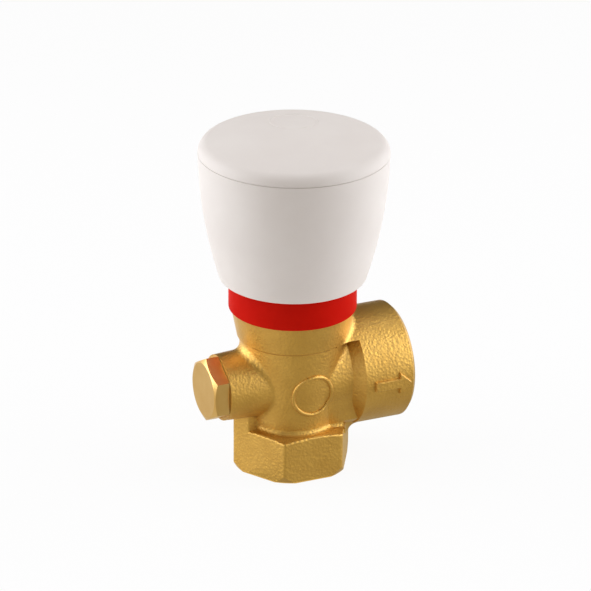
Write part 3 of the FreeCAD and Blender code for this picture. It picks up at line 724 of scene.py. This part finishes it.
def thread_tree() -> Tree:
    """A tree that winds a rounded thread ridge inside a bore.

    Returns:
        The tree, with the inputs Bore Radius, Pitch, Turns, Ridge Radius, Mouth, Turned and Material.
    """
    sizes = dict.fromkeys(("Bore Radius", "Pitch", "Turns", "Ridge Radius"), "Float")
    tree, group = new_tree("thread_ridge", {**sizes, "Mouth": "Vector", "Turned": "Vector"})
    given = group.outputs
    height = add_node(
        tree, "ShaderNodeMath", {"operation": "MULTIPLY"}, {0: given["Pitch"], 1: given["Turns"]}
    )
    helix = add_node(
        tree,
        "GeometryNodeCurveSpiral",
        inputs={
            "Resolution": THREAD_STEPS,
            "Rotations": given["Turns"],
            "Start Radius": given["Bore Radius"],
            "End Radius": given["Bore Radius"],
            "Height": height.outputs["Value"],
        },
    )
    ridge = run_round(tree, helix.outputs["Curve"], given["Ridge Radius"], THREAD_SIDES)
    placed = add_node(
        tree,
        "GeometryNodeTransform",
        inputs={"Geometry": ridge, "Translation": given["Mouth"], "Rotation": given["Turned"]},
    )
    finish_tree(tree, placed.outputs["Geometry"], given["Material"])
    return tree


def offset_loop(loop: Sequence[Flat], distance: float) -> list[Flat]:
    """Moves a closed flat outline outwards along its mitred corners.

    Args:
        loop: The outline, counter-clockwise.
        distance: How far it moves; negative moves it inwards.

    Returns:
        The moved outline.
    """
    count = len(loop)
    moved = []
    for index in range(count):
        here = Vector(loop[index])
        before = (here - Vector(loop[index - 1])).normalized()
        after = (Vector(loop[(index + 1) % count]) - here).normalized()
        out_before = Vector((before.y, -before.x))
        out_after = Vector((after.y, -after.x))
        mitre = (out_before + out_after).normalized()
        share = distance / max(LEAST_MITRE, mitre.dot(out_before))
        moved.append((here.x + mitre.x * share, here.y + mitre.y * share))
    return moved


def resampled(loop: Sequence[Flat], step: float) -> list[Flat]:
    """Divides the sides of a closed flat outline.

    Args:
        loop: The outline's corners.
        step: The longest piece of a side.

    Returns:
        The corners with the new points between them.
    """
    points = []
    for index, corner in enumerate(loop):
        start = Vector(corner)
        run = Vector(loop[(index + 1) % len(loop)]) - start
        parts = max(1, math.ceil(run.length / step))
        points.extend(tuple(start + run * (part / parts)) for part in range(parts))
    return points


def inside(point: Flat, loop: Sequence[Flat]) -> bool:
    """Tells whether a flat point lies inside a closed outline.

    Args:
        point: The point.
        loop: The outline.

    Returns:
        Whether a line from the point to the right crosses the outline an odd number of times.
    """
    odd = False
    for index, (x, y) in enumerate(loop):
        before_x, before_y = loop[index - 1]
        if (y > point[1]) != (before_y > point[1]):
            odd ^= point[0] < x + (before_x - x) * (point[1] - y) / (before_y - y)
    return odd


def inner_points(loop: Sequence[Flat], step: float) -> list[Flat]:
    """A grid of points well inside an outline, so that a plate can bend.

    Args:
        loop: The outline.
        step: The grid's spacing.

    Returns:
        The points.
    """
    shrunk = offset_loop(loop, -step / 2.0)
    low_x, high_x = min(x for x, _ in loop), max(x for x, _ in loop)
    low_y, high_y = min(y for _, y in loop), max(y for _, y in loop)
    columns = int((high_x - low_x) / step) + 1
    rows = int((high_y - low_y) / step) + 1
    grid = [(low_x + column * step, low_y + row * step) for column in range(columns) for row in range(rows)]
    return [point for point in grid if inside(point, shrunk)]


def wall_faces(rings: int, count: int) -> list[tuple[int, ...]]:
    """The four-sided faces between rings of points that follow one another.

    Args:
        rings: The number of rings.
        count: The number of points in a ring.

    Returns:
        The faces as point numbers.
    """
    faces = []
    for start in range(0, (rings - 1) * count, count):
        for index in range(count):
            here, beside = start + index, start + (index + 1) % count
            faces.append((here, beside, beside + count, here + count))
    return faces


def raised_plate(name: str, loop: Sequence[Flat], place: Placer, rise: float, draft: float) -> Piece:
    """Makes a raised flat mark with drafted sides that follows the surface it stands on.

    Args:
        name: The piece's name.
        loop: The mark's outline, counter-clockwise.
        place: Puts a flat point and a height on the surface.
        rise: The mark's height.
        draft: How far each side leans in.

    Returns:
        The piece.
    """
    step = rise * MARK_SIDE_STEP
    fine = resampled(loop, step)
    rings = [(offset_loop(fine, draft * out), rise * up) for out, up in MARK_SIDES]
    points = [place(x, y, height) for ring, height in rings for x, y in ring]
    count = len(fine)
    faces = wall_faces(len(rings), count)
    top = rings[-1][0]
    flat = [Vector(point) for point in [*top, *inner_points(top, step * MARK_TOP_STEP)]]
    sides = [(index, (index + 1) % count) for index in range(count)]
    corners, _, triangles, origins, *_ = delaunay_2d_cdt(flat, sides, [], FILL_INSIDE, FILL_JOIN)
    first = (len(rings) - 1) * count
    spots = []
    for corner, origin in zip(corners, origins):
        if origin and origin[0] < count:
            spots.append(first + origin[0])
        else:
            spots.append(len(points))
            points.append(place(corner.x, corner.y, rise))
    faces.extend(tuple(spots[index] for index in triangle) for triangle in triangles)
    faces.append(tuple(reversed(range(count))))
    return new_piece(name, points, faces)


def bent_corners(corners: Sequence[tuple[float, float, float]], steps: int) -> list[Flat]:
    """Rounds the corners of a closed flat outline.

    Args:
        corners: The corners, each with its radius, or 0 for a sharp one.
        steps: The number of pieces of an arc.

    Returns:
        The rounded outline.
    """
    points = []
    for index, (x, y, radius) in enumerate(corners):
        corner = Vector((x, y))
        if not radius:
            points.append((x, y))
            continue
        back = (Vector(corners[index - 1][:2]) - corner).normalized()
        ahead = (Vector(corners[(index + 1) % len(corners)][:2]) - corner).normalized()
        half = back.angle(ahead) / 2.0
        middle = corner + (back + ahead).normalized() * (radius / math.sin(half))
        first = corner + back * (radius / math.tan(half)) - middle
        last = corner + ahead * (radius / math.tan(half)) - middle
        sweep = first.angle_signed(last, 0.0)
        points.extend(
            tuple(middle + Matrix.Rotation(-sweep * part / steps, 2) @ first) for part in range(steps + 1)
        )
    return points


def swept_tube(name: str, sections: Sequence[Sequence[Vector]]) -> Piece:
    """Makes a closed piece through a row of equal rings of points.

    Args:
        name: The piece's name.
        sections: The rings, counter-clockwise as seen from the last one.

    Returns:
        The piece.
    """
    count = len(sections[0])
    points = [point for section in sections for point in section]
    faces = wall_faces(len(sections), count)
    faces.append(tuple(reversed(range(count))))
    faces.append(tuple(range(len(points) - count, len(points))))
    return new_piece(name, points, faces)


@dataclass(frozen=True)
class RaisedRing:
    """A thin raised ring on a surface.

    Attributes:
        name: The piece's name.
        radius_mm: The ring's radius.
        bead_mm: The radius of its bead.
        stand_mm: How far the bead's middle stands off what the placer gives.
        count: The number of points round the ring.
    """

    name: str
    radius_mm: float
    bead_mm: float
    stand_mm: float
    count: int

    def build(self, place: Placer, tree: Tree, material: Material) -> Piece:
        """Makes the ring.

        Args:
            place: Puts a flat point and a height on the surface.
            tree: The bead tree.
            material: The ring's material.

        Returns:
            The piece.
        """
        radius = self.radius_mm * MM
        turns = [2.0 * math.pi * index / self.count for index in range(self.count)]
        path = [place(radius * math.cos(turn), radius * math.sin(turn), self.stand_mm * MM) for turn in turns]
        edges = [(index, (index + 1) % self.count) for index in range(self.count)]
        piece = new_piece(self.name, path, edges=edges)
        grow(piece, tree, {"Bead Radius": self.bead_mm * MM, "Bead Sides": BEAD_SIDES, "Material": material})
        return piece


@dataclass(frozen=True)
class ForgedBody:
    """The forged tee with its raised marks and its pipe threads. All sizes in millimetres.

    Attributes:
        ring: The ring on the front.
        ring_offset_mm: The distance of that ring from the spindle axis, towards the outlet.
        ring_drop_mm: How far that ring's middle lies under the port axis.
        front_ray_mm: How far in front of the spindle axis the rays start that find the front.
        socket_radius_mm: The outlet socket's radius.
        arrow_start_mm: Where the flow arrow's shaft starts along the outlet.
        arrow_length_mm: The arrow's whole length.
        arrow_shaft_mm: The width of its shaft.
        arrow_head_mm: The width of its head.
        arrow_head_length_mm: The length of its head.
        arrow_height_mm: The height of its middle above the port axis, along the curve.
        arrow_rise_mm: How far it stands out.
        arrow_draft_mm: How far its sides lean in.
        hex_half_mm: Half the inlet hexagon's width across its flats.
        hex_round_mm: The rounding of its corners.
        web_proud_mm: How far the web under the tapping boss stands proud of the hexagon's flats.
        web_half_mm: Half the width of that web.
        web_edge_mm: The rounding of that web's edges.
        web_foot_mm: The height at which it starts, inside the hexagon.
        web_top_mm: The height at which it ends, inside the boss.
        web_arc_steps: The pieces of each of its rounded edges.
        core_mm: The core's radius behind that web.
        cove_mm: The radius of the cove between the hexagon's right corner and the outlet socket.
        cove_half_mm: Half the width of that cove.
        cove_step_mm: The longest step between its sections.
        cove_corner_steps: The pieces of its bend round the hexagon's corner.
        cove_arc_steps: The pieces of a section's arc.
        cove_inset_mm: How far a section's root lies inside the hexagon's wall.
        cove_cover_mm: How far that root lies above the end of the arc, inside the socket.
        cove_tail: The share to which the section shrinks at both ends.
        cove_tail_mm: The length over which it shrinks.
        bore_radius_mm: The radius of both threaded bores.
        pitch_mm: The pitch of a G 3/4 thread.
        ridge_mm: The radius of a thread ridge.
        inlet_turns: The thread's turns in the inlet.
        outlet_turns: The thread's turns in the outlet.
        outlet_mouth_mm: The outlet's end face.
        thread_start_mm: How far inside the mouths the threads start.
    """

    ring: RaisedRing = RaisedRing("front_ring", radius_mm=6.0, bead_mm=0.58, stand_mm=0.05, count=72)
    ring_offset_mm: float = 0.5
    ring_drop_mm: float = 0.9
    front_ray_mm: float = 100.0
    socket_radius_mm: float = 17.1
    arrow_start_mm: float = 19.05
    arrow_length_mm: float = 11.05
    arrow_shaft_mm: float = 2.6
    arrow_head_mm: float = 5.9
    arrow_head_length_mm: float = 3.4
    arrow_height_mm: float = -0.2
    arrow_rise_mm: float = 0.95
    arrow_draft_mm: float = 0.35
    hex_half_mm: float = 16.0
    hex_round_mm: float = 1.2
    web_proud_mm: float = 0.03
    web_half_mm: float = 4.7
    web_edge_mm: float = 0.7
    web_foot_mm: float = 11.6
    web_top_mm: float = 21.5
    web_arc_steps: int = 6
    core_mm: float = 13.4
    cove_mm: float = 4.2
    cove_half_mm: float = 8.5
    cove_step_mm: float = 0.6
    cove_corner_steps: int = 8
    cove_arc_steps: int = 6
    cove_inset_mm: float = 0.4
    cove_cover_mm: float = 1.6
    cove_tail: float = 0.2
    cove_tail_mm: float = 1.0
    bore_radius_mm: float = 13.22
    pitch_mm: float = 1.814
    ridge_mm: float = 0.58
    inlet_turns: float = 5.0
    outlet_turns: float = 5.6
    outlet_mouth_mm: float = 32.1
    thread_start_mm: float = 1.3

    def on_front(self, forging: Piece) -> Placer:
        """A placer for the forging's front, which finds its surface with rays along Y.

        Args:
            forging: The forging.

        Returns:
            A function of the distances from the ring's middle towards the outlet and up and the height
            above the surface, all in metres.
        """
        middle = Vector((self.ring_offset_mm, -self.front_ray_mm, PORT_HEIGHT_MM - self.ring_drop_mm)) * MM

        def place(across: float, up: float, out: float) -> Vector:
            """Puts a flat point and a height on the front."""
            _, spot, _, _ = forging.ray_cast(middle + Vector((across, 0.0, up)), Vector((0.0, 1.0, 0.0)))
            return spot - Vector((0.0, out, 0.0))

        return place

    def on_socket(self, along: float, up: float, out: float) -> Vector:
        """Puts a flat point on the outlet socket's front, in metres.

        Args:
            along: The distance along the outlet's axis.
            up: The way round from the front, upwards.
            out: The height above the surface.

        Returns:
            The point.
        """
        wall = self.socket_radius_mm * MM
        turn = up / wall
        reach = wall + out
        return Vector((along, -reach * math.cos(turn), PORT_HEIGHT_MM * MM + reach * math.sin(turn)))

    def arrow_outline(self) -> list[Flat]:
        """Draws the flow arrow.

        Returns:
            Its outline, counter-clockwise from its tail, in metres.
        """
        start = self.arrow_start_mm
        tip = start + self.arrow_length_mm
        neck = tip - self.arrow_head_length_mm
        shaft, head = self.arrow_shaft_mm / 2.0, self.arrow_head_mm / 2.0
        lower = [(start, -shaft), (neck, -shaft), (neck, -head)]
        corners = [*lower, (tip, 0.0), *((x, -y) for x, y in reversed(lower))]
        return [(x * MM, (y + self.arrow_height_mm) * MM) for x, y in corners]

    def boss_web(self) -> Piece:
        """Makes the web that joins the hexagon's left corner to the tapping boss above it.

        Returns:
            The piece.
        """
        corner = (self.hex_half_mm + self.web_proud_mm) / math.cos(HEX_HALF_ANGLE)
        side = corner - self.web_half_mm * math.tan(HEX_HALF_ANGLE)
        root = math.sqrt(self.core_mm**2 - self.web_half_mm**2)
        # The back corners lie on the core, half-way round to its front and back.
        inner = self.core_mm * math.sqrt(0.5)
        half = [
            (-inner, -inner, 0.0),
            (-root, -self.web_half_mm, self.web_edge_mm * 2.0),
            (-side, -self.web_half_mm, self.web_edge_mm),
        ]
        tip = (-corner, 0.0, self.hex_round_mm)
        corners = [*half, tip, *((x, -y, radius) for x, y, radius in reversed(half))]
        loop = bent_corners(corners, self.web_arc_steps)
        levels = (self.web_top_mm, self.web_foot_mm)
        return swept_tube("boss_web", [[Vector((x, y, level)) * MM for x, y in loop] for level in levels])

    def cove_line(self) -> list[Vector]:
        """Draws the line on the hexagon's wall that the cove follows, round its right corner.

        Returns:
            The line's points, at no height, in millimetres.
        """
        corner = self.hex_half_mm / math.cos(HEX_HALF_ANGLE)
        far = self.cove_half_mm
        back = corner - far * math.tan(HEX_HALF_ANGLE)
        bend = [(back, -far, 0.0), (corner, 0.0, self.hex_round_mm), (back, far, 0.0)]
        wall = bent_corners(bend, self.cove_corner_steps)
        # The outline closes through the spindle axis; only its part on the wall is kept.
        closed = resampled([*wall, (0.0, 0.0)], self.cove_step_mm)
        return [Vector((x, y, 0.0)) for x, y in closed if x > back - self.cove_step_mm / 2.0]

    def corner_cove(self) -> Piece:
        """Makes the cove that leads the hexagon's right corner into the outlet socket's underside.

        A ball of the cove's radius rolls along the corner and the socket, and its contact arcs make the
        surface. At both ends it runs out into the forging.

        Returns:
            The piece.
        """
        line = self.cove_line()
        last = len(line) - 1
        sections = []
        for index, spot in enumerate(line):
            run = (line[min(last, index + 1)] - line[max(0, index - 1)]).normalized()
            out = Vector((run.y, -run.x, 0.0))
            middle = spot + out * self.cove_mm
            reach = self.socket_radius_mm + self.cove_mm
            middle.z = PORT_HEIGHT_MM - math.sqrt(reach**2 - middle.y**2)
            up = Vector((0.0, -middle.y, PORT_HEIGHT_MM - middle.z)).normalized()
            turn = (-out).rotation_difference(up)
            shares = [part / self.cove_arc_steps for part in range(self.cove_arc_steps + 1)]
            arc = [middle + Quaternion().slerp(turn, share) @ -out * self.cove_mm for share in shares]
            root = spot - out * self.cove_inset_mm
            root.z = arc[-1].z + self.cove_cover_mm
            ring = [root, *reversed(arc)]
            sections.append(ring)
            if index in (0, last):
                ahead = run * (self.cove_tail_mm if index else -self.cove_tail_mm)
                tail = [root + (point - root) * self.cove_tail + ahead for point in ring]
                sections.insert(len(sections) if index else 0, tail)
        return swept_tube("corner_cove", [[point * MM for point in section] for section in sections])

    def build(self, nodes: Nodes, brass: Material, beads: Tree) -> None:
        """Dresses the forging and adds its web, cove, marks and threads.

        Args:
            nodes: The CAD nodes by name.
            brass: The forging's material.
            beads: The bead tree.
        """
        forging = nodes["valve_body"]
        clothe(nodes, ["valve_body"], brass)
        rise, draft = self.arrow_rise_mm * MM, self.arrow_draft_mm * MM
        arrow = raised_plate("flow_arrow", self.arrow_outline(), self.on_socket, rise, draft)
        solid = (arrow, self.boss_web(), self.corner_cove())
        for piece in solid:
            piece.data.materials.append(brass)
        for piece in (*solid, self.ring.build(self.on_front(forging), beads, brass), *self.threads(brass)):
            hand_over(piece, Body.VALVE)

    def threads(self, brass: Material) -> list[Piece]:
        """Winds the thread ridges of both mouths.

        Args:
            brass: Their material.

        Returns:
            The pieces.
        """
        tree = thread_tree()
        floor_mm = self.outlet_mouth_mm - self.thread_start_mm - self.pitch_mm * self.outlet_turns
        ports = (
            ("inlet_thread", self.inlet_turns, (0.0, 0.0, self.thread_start_mm), (0.0, 0.0, 0.0)),
            ("outlet_thread", self.outlet_turns, (floor_mm, 0.0, PORT_HEIGHT_MM), (0.0, math.pi / 2.0, 0.0)),
        )
        sizes = {
            "Bore Radius": self.bore_radius_mm * MM,
            "Pitch": self.pitch_mm * MM,
            "Ridge Radius": self.ridge_mm * MM,
            "Material": brass,
        }
        made = []
        for name, turns, mouth_mm, turned in ports:
            mouth = tuple(place_mm * MM for place_mm in mouth_mm)
            thread = new_piece(name)
            grow(thread, tree, {**sizes, "Turns": turns, "Mouth": mouth, "Turned": turned})
            made.append(thread)
        return made


@dataclass(frozen=True)
class Handle:
    """The knob with its cap. Sizes in millimetres.

    Attributes:
        ring: The fine ring on the dome.
        ring_centre_mm: The middle of that ring, from the spindle axis.
        ring_rise_mm: How far its bead stands out of the dome, where the crown leaves room.
        ring_room_mm: How far the bead stays under the crown's top.
        dome_ray_mm: The height from which the rays start that find the dome.
    """

    ring: RaisedRing = RaisedRing("cap_ring", radius_mm=6.9, bead_mm=0.26, stand_mm=-0.26, count=96)
    ring_centre_mm: Flat = (4.2, 9.6)
    ring_rise_mm: float = 0.15
    ring_room_mm: float = 0.004
    dome_ray_mm: float = 1000.0

    def on_dome(self, cap: Piece) -> Placer:
        """A placer for the top of the bead on the cap's dome, which finds the dome with rays from above.

        Args:
            cap: The cap.

        Returns:
            A function of the distances from the ring's middle along X and Y and the height above the
            bead's top, all in metres. That top stands out of the dome, but not over the crown.
        """
        middle = Vector((*self.ring_centre_mm, self.dome_ray_mm)) * MM
        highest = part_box("knob_cap")[1][2] - self.ring_room_mm * MM

        def place(along: float, across: float, out: float) -> Vector:
            """Puts a flat point and a height on the bead's top.

            Args:
                along: The distance from the ring's middle along X.
                across: The distance from it along Y.
                out: The height above the bead's top.

            Returns:
                The point.
            """
            _, spot, _, _ = cap.ray_cast(middle + Vector((along, across, 0.0)), Vector((0.0, 0.0, -1.0)))
            rise = min(self.ring_rise_mm * MM, highest - spot.z)
            return spot + Vector((0.0, 0.0, rise + out))

        return place

    def build(self, nodes: Nodes, plastic: Material, beads: Tree) -> None:
        """Dresses the knob and adds the ring on its dome.

        Args:
            nodes: The CAD nodes by name.
            plastic: The knob's material.
            beads: The bead tree.
        """
        clothe(nodes, ["knob_skirt", "knob_cap"], plastic)
        ring = self.ring.build(self.on_dome(nodes["knob_cap"]), beads, plastic)
        hand_over(ring, Body.KNOB)


@dataclass(frozen=True)
class Mechanism:
    """The pieces inside, by what they are made of.

    Attributes:
        brass: The turned pieces.
        rubber: The seals and the disc.
        steel: The screws and washers.
        slippery: The washer under the spindle.
        end_coil_mm: The height of the spring's closed coil at each end.
    """

    brass: tuple[str, ...] = ("bonnet", "gland_nut", "spindle", "spring_plate", "disc_holder")
    rubber: tuple[str, ...] = (
        "plug_seal",
        "bonnet_seal",
        "spindle_seal_lower",
        "spindle_seal_upper",
        "seal_disc",
    )
    steel: tuple[str, ...] = ("knob_screw", "screw_washer", "disc_screw", "disc_washer")
    slippery: tuple[str, ...] = ("thrust_washer",)
    end_coil_mm: float = 1.7

    def build(self, nodes: Nodes) -> None:
        """Dresses the inner pieces and puts two halves in the spring's place.

        Args:
            nodes: The CAD nodes by name.
        """
        clothe(nodes, self.brass, SPINDLE_BRASS.material())
        clothe(nodes, self.rubber, SEAL_RUBBER.material())
        clothe(nodes, self.steel, ZINC_STEEL.material())
        clothe(nodes, self.slippery, PTFE.material())
        self.seat_spring(nodes["spring"], SPRING_WIRE.material())

    def seat_spring(self, spring: Piece, wire: Material) -> None:
        """Puts two halves in the spring's place, which meet at mid-height, and hides the CAD spring.

        Args:
            spring: The CAD node.
            wire: The spring's material.
        """
        low, high = (corner[2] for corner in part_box("spring"))
        middle = (low + high) / 2.0
        end_coil = self.end_coil_mm * MM
        for name, body, seat in (
            ("spring_lower", Body.OBTURATOR, low + end_coil),
            ("spring_upper", Body.ADJUSTER, high - end_coil),
        ):
            half = half_of(spring, name, middle, above=seat > middle)
            half.data.materials.append(wire)
            smooth(half)
            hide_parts("spring")
            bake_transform(half)


@dataclass(frozen=True)
class PhotoCamera:
    """The photograph's camera, solved from the valve's edges.

    Attributes:
        focal_px: The focal length in pixels.
        image_px: The image's width and height.
        sensor_mm: The sensor's width.
        elevation_deg: How far the camera looks down.
        yaw_deg: How far it stands left of the valve's front.
        roll_deg: Its turn about its own line of sight.
        distance_mm: Its distance from the target.
        target_height_mm: The target's height.
        target_right_mm: The target's distance right of the spindle axis.
    """

    focal_px: float = 3986.6
    image_px: float = 591.0
    sensor_mm: float = 36.0
    elevation_deg: float = 23.61
    yaw_deg: float = 24.30
    roll_deg: float = 0.56
    distance_mm: float = 1150.0
    target_height_mm: float = 52.04
    target_right_mm: float = 0.84

    def right(self) -> Vector:
        """The level direction to the camera's right."""
        yaw = math.radians(self.yaw_deg)
        return Vector((math.cos(yaw), -math.sin(yaw), 0.0))

    def towards(self) -> Vector:
        """The level direction from the valve towards the camera."""
        yaw = math.radians(self.yaw_deg)
        return Vector((-math.sin(yaw), -math.cos(yaw), 0.0))

    def build(self) -> None:
        """Makes the camera and the scene's view settings."""
        rise = math.radians(self.elevation_deg)
        back = self.towards() * math.cos(rise) + Vector((0.0, 0.0, math.sin(rise)))
        right = self.right()
        up = back.cross(right)
        target = Vector((0.0, 0.0, self.target_height_mm)) + right * self.target_right_mm
        place = (target + back * self.distance_mm) * MM
        lens = bpy.data.cameras.new("photo_camera")
        lens.sensor_width = self.sensor_mm
        lens.lens = self.focal_px * self.sensor_mm / self.image_px
        camera = bpy.data.objects.new("photo_camera", lens)
        facing = Matrix((right, up, back)).transposed().to_4x4()
        roll = Matrix.Rotation(math.radians(self.roll_deg), 4, "Z")
        camera.matrix_world = Matrix.Translation(place) @ facing @ roll
        scene = bpy.context.scene
        scene.collection.objects.link(camera)
        scene.camera = camera
        scene.view_settings.view_transform = "Standard"


@dataclass(frozen=True)
class StudioPanel:
    """A rectangle in the studio, placed as the camera sees it.

    Attributes:
        name: Its name.
        right_mm: Its distance right of the valve.
        towards_mm: Its distance from the valve towards the camera.
        height_mm: Its height.
        width_mm: Its width.
        tall_mm: Its other side.
    """

    name: str
    right_mm: float
    towards_mm: float
    height_mm: float
    width_mm: float
    tall_mm: float

    def spot(self, camera: PhotoCamera) -> Vector:
        """Its place in the scene, in metres, given from the camera."""
        place = camera.right() * self.right_mm + camera.towards() * self.towards_mm
        return (place + Vector((0.0, 0.0, self.height_mm))) * MM


@dataclass(frozen=True)
class Softbox(StudioPanel):
    """A soft studio lamp.

    Attributes:
        power_w: Its power.
        colour: Its colour, that of daylight flash beside a warm room.
    """

    power_w: float
    colour: str = "#F3F7FF"

    def build(self, camera: PhotoCamera, aim: Vector) -> None:
        """Hangs the lamp.

        Args:
            camera: The camera that its place is given from.
            aim: The point that it faces.
        """
        lamp = bpy.data.lights.new(self.name, "AREA")
        lamp.shape = "RECTANGLE"
        lamp.size = self.width_mm * MM
        lamp.size_y = self.tall_mm * MM
        lamp.energy = self.power_w
        lamp.color = linear(self.colour)[:3]
        held = bpy.data.objects.new(self.name, lamp)
        held.location = self.spot(camera)
        held.rotation_euler = (aim - held.location).to_track_quat("-Z", "Y").to_euler()
        bpy.context.scene.collection.objects.link(held)


@dataclass(frozen=True)
class Card(StudioPanel):
    """A grey card that only reflections show. It faces the valve, or lies flat if it is low.

    Attributes:
        shade: Its colour in a reflection.
    """

    shade: str

    def build(self, camera: PhotoCamera, aim: Vector) -> None:
        """Hangs or lays the card.

        Args:
            camera: The camera that its place is given from.
            aim: The point that it faces.
        """
        card = new_sheet(self.name, self.width_mm * MM, self.tall_mm * MM)
        card.location = self.spot(camera)
        if card.location.z > aim.z:
            card.rotation_euler = (aim - card.location).to_track_quat("Z", "Y").to_euler()
        else:
            card.rotation_euler.z = -math.radians(camera.yaw_deg)
        material = bpy.data.materials.new(f"{self.name}_grey")
        tree = bare_tree(material)
        grey = add_node(tree, "ShaderNodeEmission", inputs={"Color": linear(self.shade)})
        add_node(tree, "ShaderNodeOutputMaterial", inputs={"Surface": grey.outputs["Emission"]})
        card.data.materials.append(material)
        card.visible_camera = False
        card.visible_diffuse = False
        card.visible_transmission = False
        card.visible_shadow = False


def seen_directly(tree: Tree) -> Socket:
    """Adds nodes that tell what is seen, mirrored or looked through from what only gives light.

    Args:
        tree: A material's or world's tree.

    Returns:
        A socket that is 1 for camera, glossy and transmission rays.
    """
    rays = add_node(tree, "ShaderNodeLightPath").outputs
    seen = rays["Is Camera Ray"]
    for ray in ("Is Glossy Ray", "Is Transmission Ray"):
        either = add_node(tree, "ShaderNodeMath", {"operation": "MAXIMUM"}, {0: seen, 1: rays[ray]})
        seen = either.outputs["Value"]
    return seen


@dataclass(frozen=True)
class Studio:
    """The white table, the lamps and the cards that shape the reflections.

    Attributes:
        floor_mm: The floor's width.
        floor_grey: The share of light that the floor throws back.
        floor_glow: The share of the floor that shows plain white to the camera.
        room_shade: The room's even light on matt surfaces, as a colour.
        aim_mm: The height that the lamps face.
        lamps: The lamps.
        cards: The cards.
    """

    floor_mm: float = 6000.0
    floor_grey: float = 0.9
    floor_glow: float = 0.93
    room_shade: str = "#847A70"
    aim_mm: float = 50.0
    lamps: tuple[Softbox, ...] = (
        Softbox("left_softbox", -620.0, -10.0, 270.0, 700.0, 900.0, power_w=5.4),
        Softbox("right_softbox", 620.0, -60.0, 200.0, 700.0, 900.0, power_w=5.75),
        Softbox("top_softbox", 0.0, -120.0, 720.0, 500.0, 500.0, power_w=1.0),
    )
    cards: tuple[Card, ...] = (
        Card("front_card", 0.0, 700.0, 250.0, 700.0, 900.0, shade="#7E7B70"),
        Card("table_card", 217.0, 200.0, 0.3, 460.0, 600.0, shade="#B9B5A2"),
        Card("left_table_card", -160.0, 170.0, 0.4, 294.0, 460.0, shade="#E2DECE"),
        Card("back_card", 0.0, -500.0, 400.0, 1000.0, 1100.0, shade="#404040"),
        Card("top_card", 0.0, 150.0, 1000.0, 1400.0, 1400.0, shade="#8C8C8C"),
    )

    def build(self, camera: PhotoCamera) -> None:
        """Sets up the stage.

        Args:
            camera: The camera that the lamps and cards are placed from.
        """
        self.lay_floor()
        self.light_room()
        aim = Vector((0.0, 0.0, self.aim_mm * MM))
        for panel in (*self.lamps, *self.cards):
            panel.build(camera, aim)

    def lay_floor(self) -> None:
        """Lays the white floor, which keeps a pale shadow."""
        floor = new_sheet("floor", self.floor_mm * MM, self.floor_mm * MM)
        material = bpy.data.materials.new("table_paper_white")
        tree = bare_tree(material)
        grey = (self.floor_grey, self.floor_grey, self.floor_grey, 1.0)
        matt = add_node(tree, "ShaderNodeBsdfDiffuse", inputs={"Color": grey})
        white = add_node(tree, "ShaderNodeEmission", inputs={"Color": WHITE, "Strength": 1.0})
        share = add_node(
            tree, "ShaderNodeMath", {"operation": "MULTIPLY"}, {0: seen_directly(tree), 1: self.floor_glow}
        )
        paper = add_node(
            tree,
            "ShaderNodeMixShader",
            inputs={0: share.outputs["Value"], 1: matt.outputs["BSDF"], 2: white.outputs["Emission"]},
        )
        add_node(tree, "ShaderNodeOutputMaterial", inputs={"Surface": paper.outputs["Shader"]})
        floor.data.materials.append(material)

    def light_room(self) -> None:
        """Sets the room's even light, white where it is seen."""
        world = bpy.data.worlds.new("studio_room")
        tree = bare_tree(world)
        colour = add_node(
            tree,
            "ShaderNodeMix",
            {"data_type": "RGBA"},
            {"Factor": seen_directly(tree), MIX_FROM: linear(self.room_shade), MIX_TO: WHITE},
        ).outputs[MIXED]
        room = add_node(tree, "ShaderNodeBackground", inputs={"Color": colour, "Strength": 1.0})
        add_node(tree, "ShaderNodeOutputWorld", inputs={"Surface": room.outputs["Background"]})
        bpy.context.scene.world = world


def main() -> None:
    """Loads the frame, dresses it, adds the pieces and stages it."""
    logging.basicConfig(level=logging.INFO, format="%(name)s: %(message)s")
    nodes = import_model()["nodes"]
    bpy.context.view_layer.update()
    beads = bead_tree()
    ForgedBody().build(nodes, FORGED_BRASS.material(), beads)
    Handle().build(nodes, WHITE_ABS.material(), beads)
    clothe(nodes, ["scale_collar"], RED_ACETAL.material())
    clothe(nodes, ["side_plug"], PLUG_BRASS.material())
    Mechanism().build(nodes)
    camera = PhotoCamera()
    camera.build()
    Studio().build(camera)


if __name__ == "__main__":
    main()
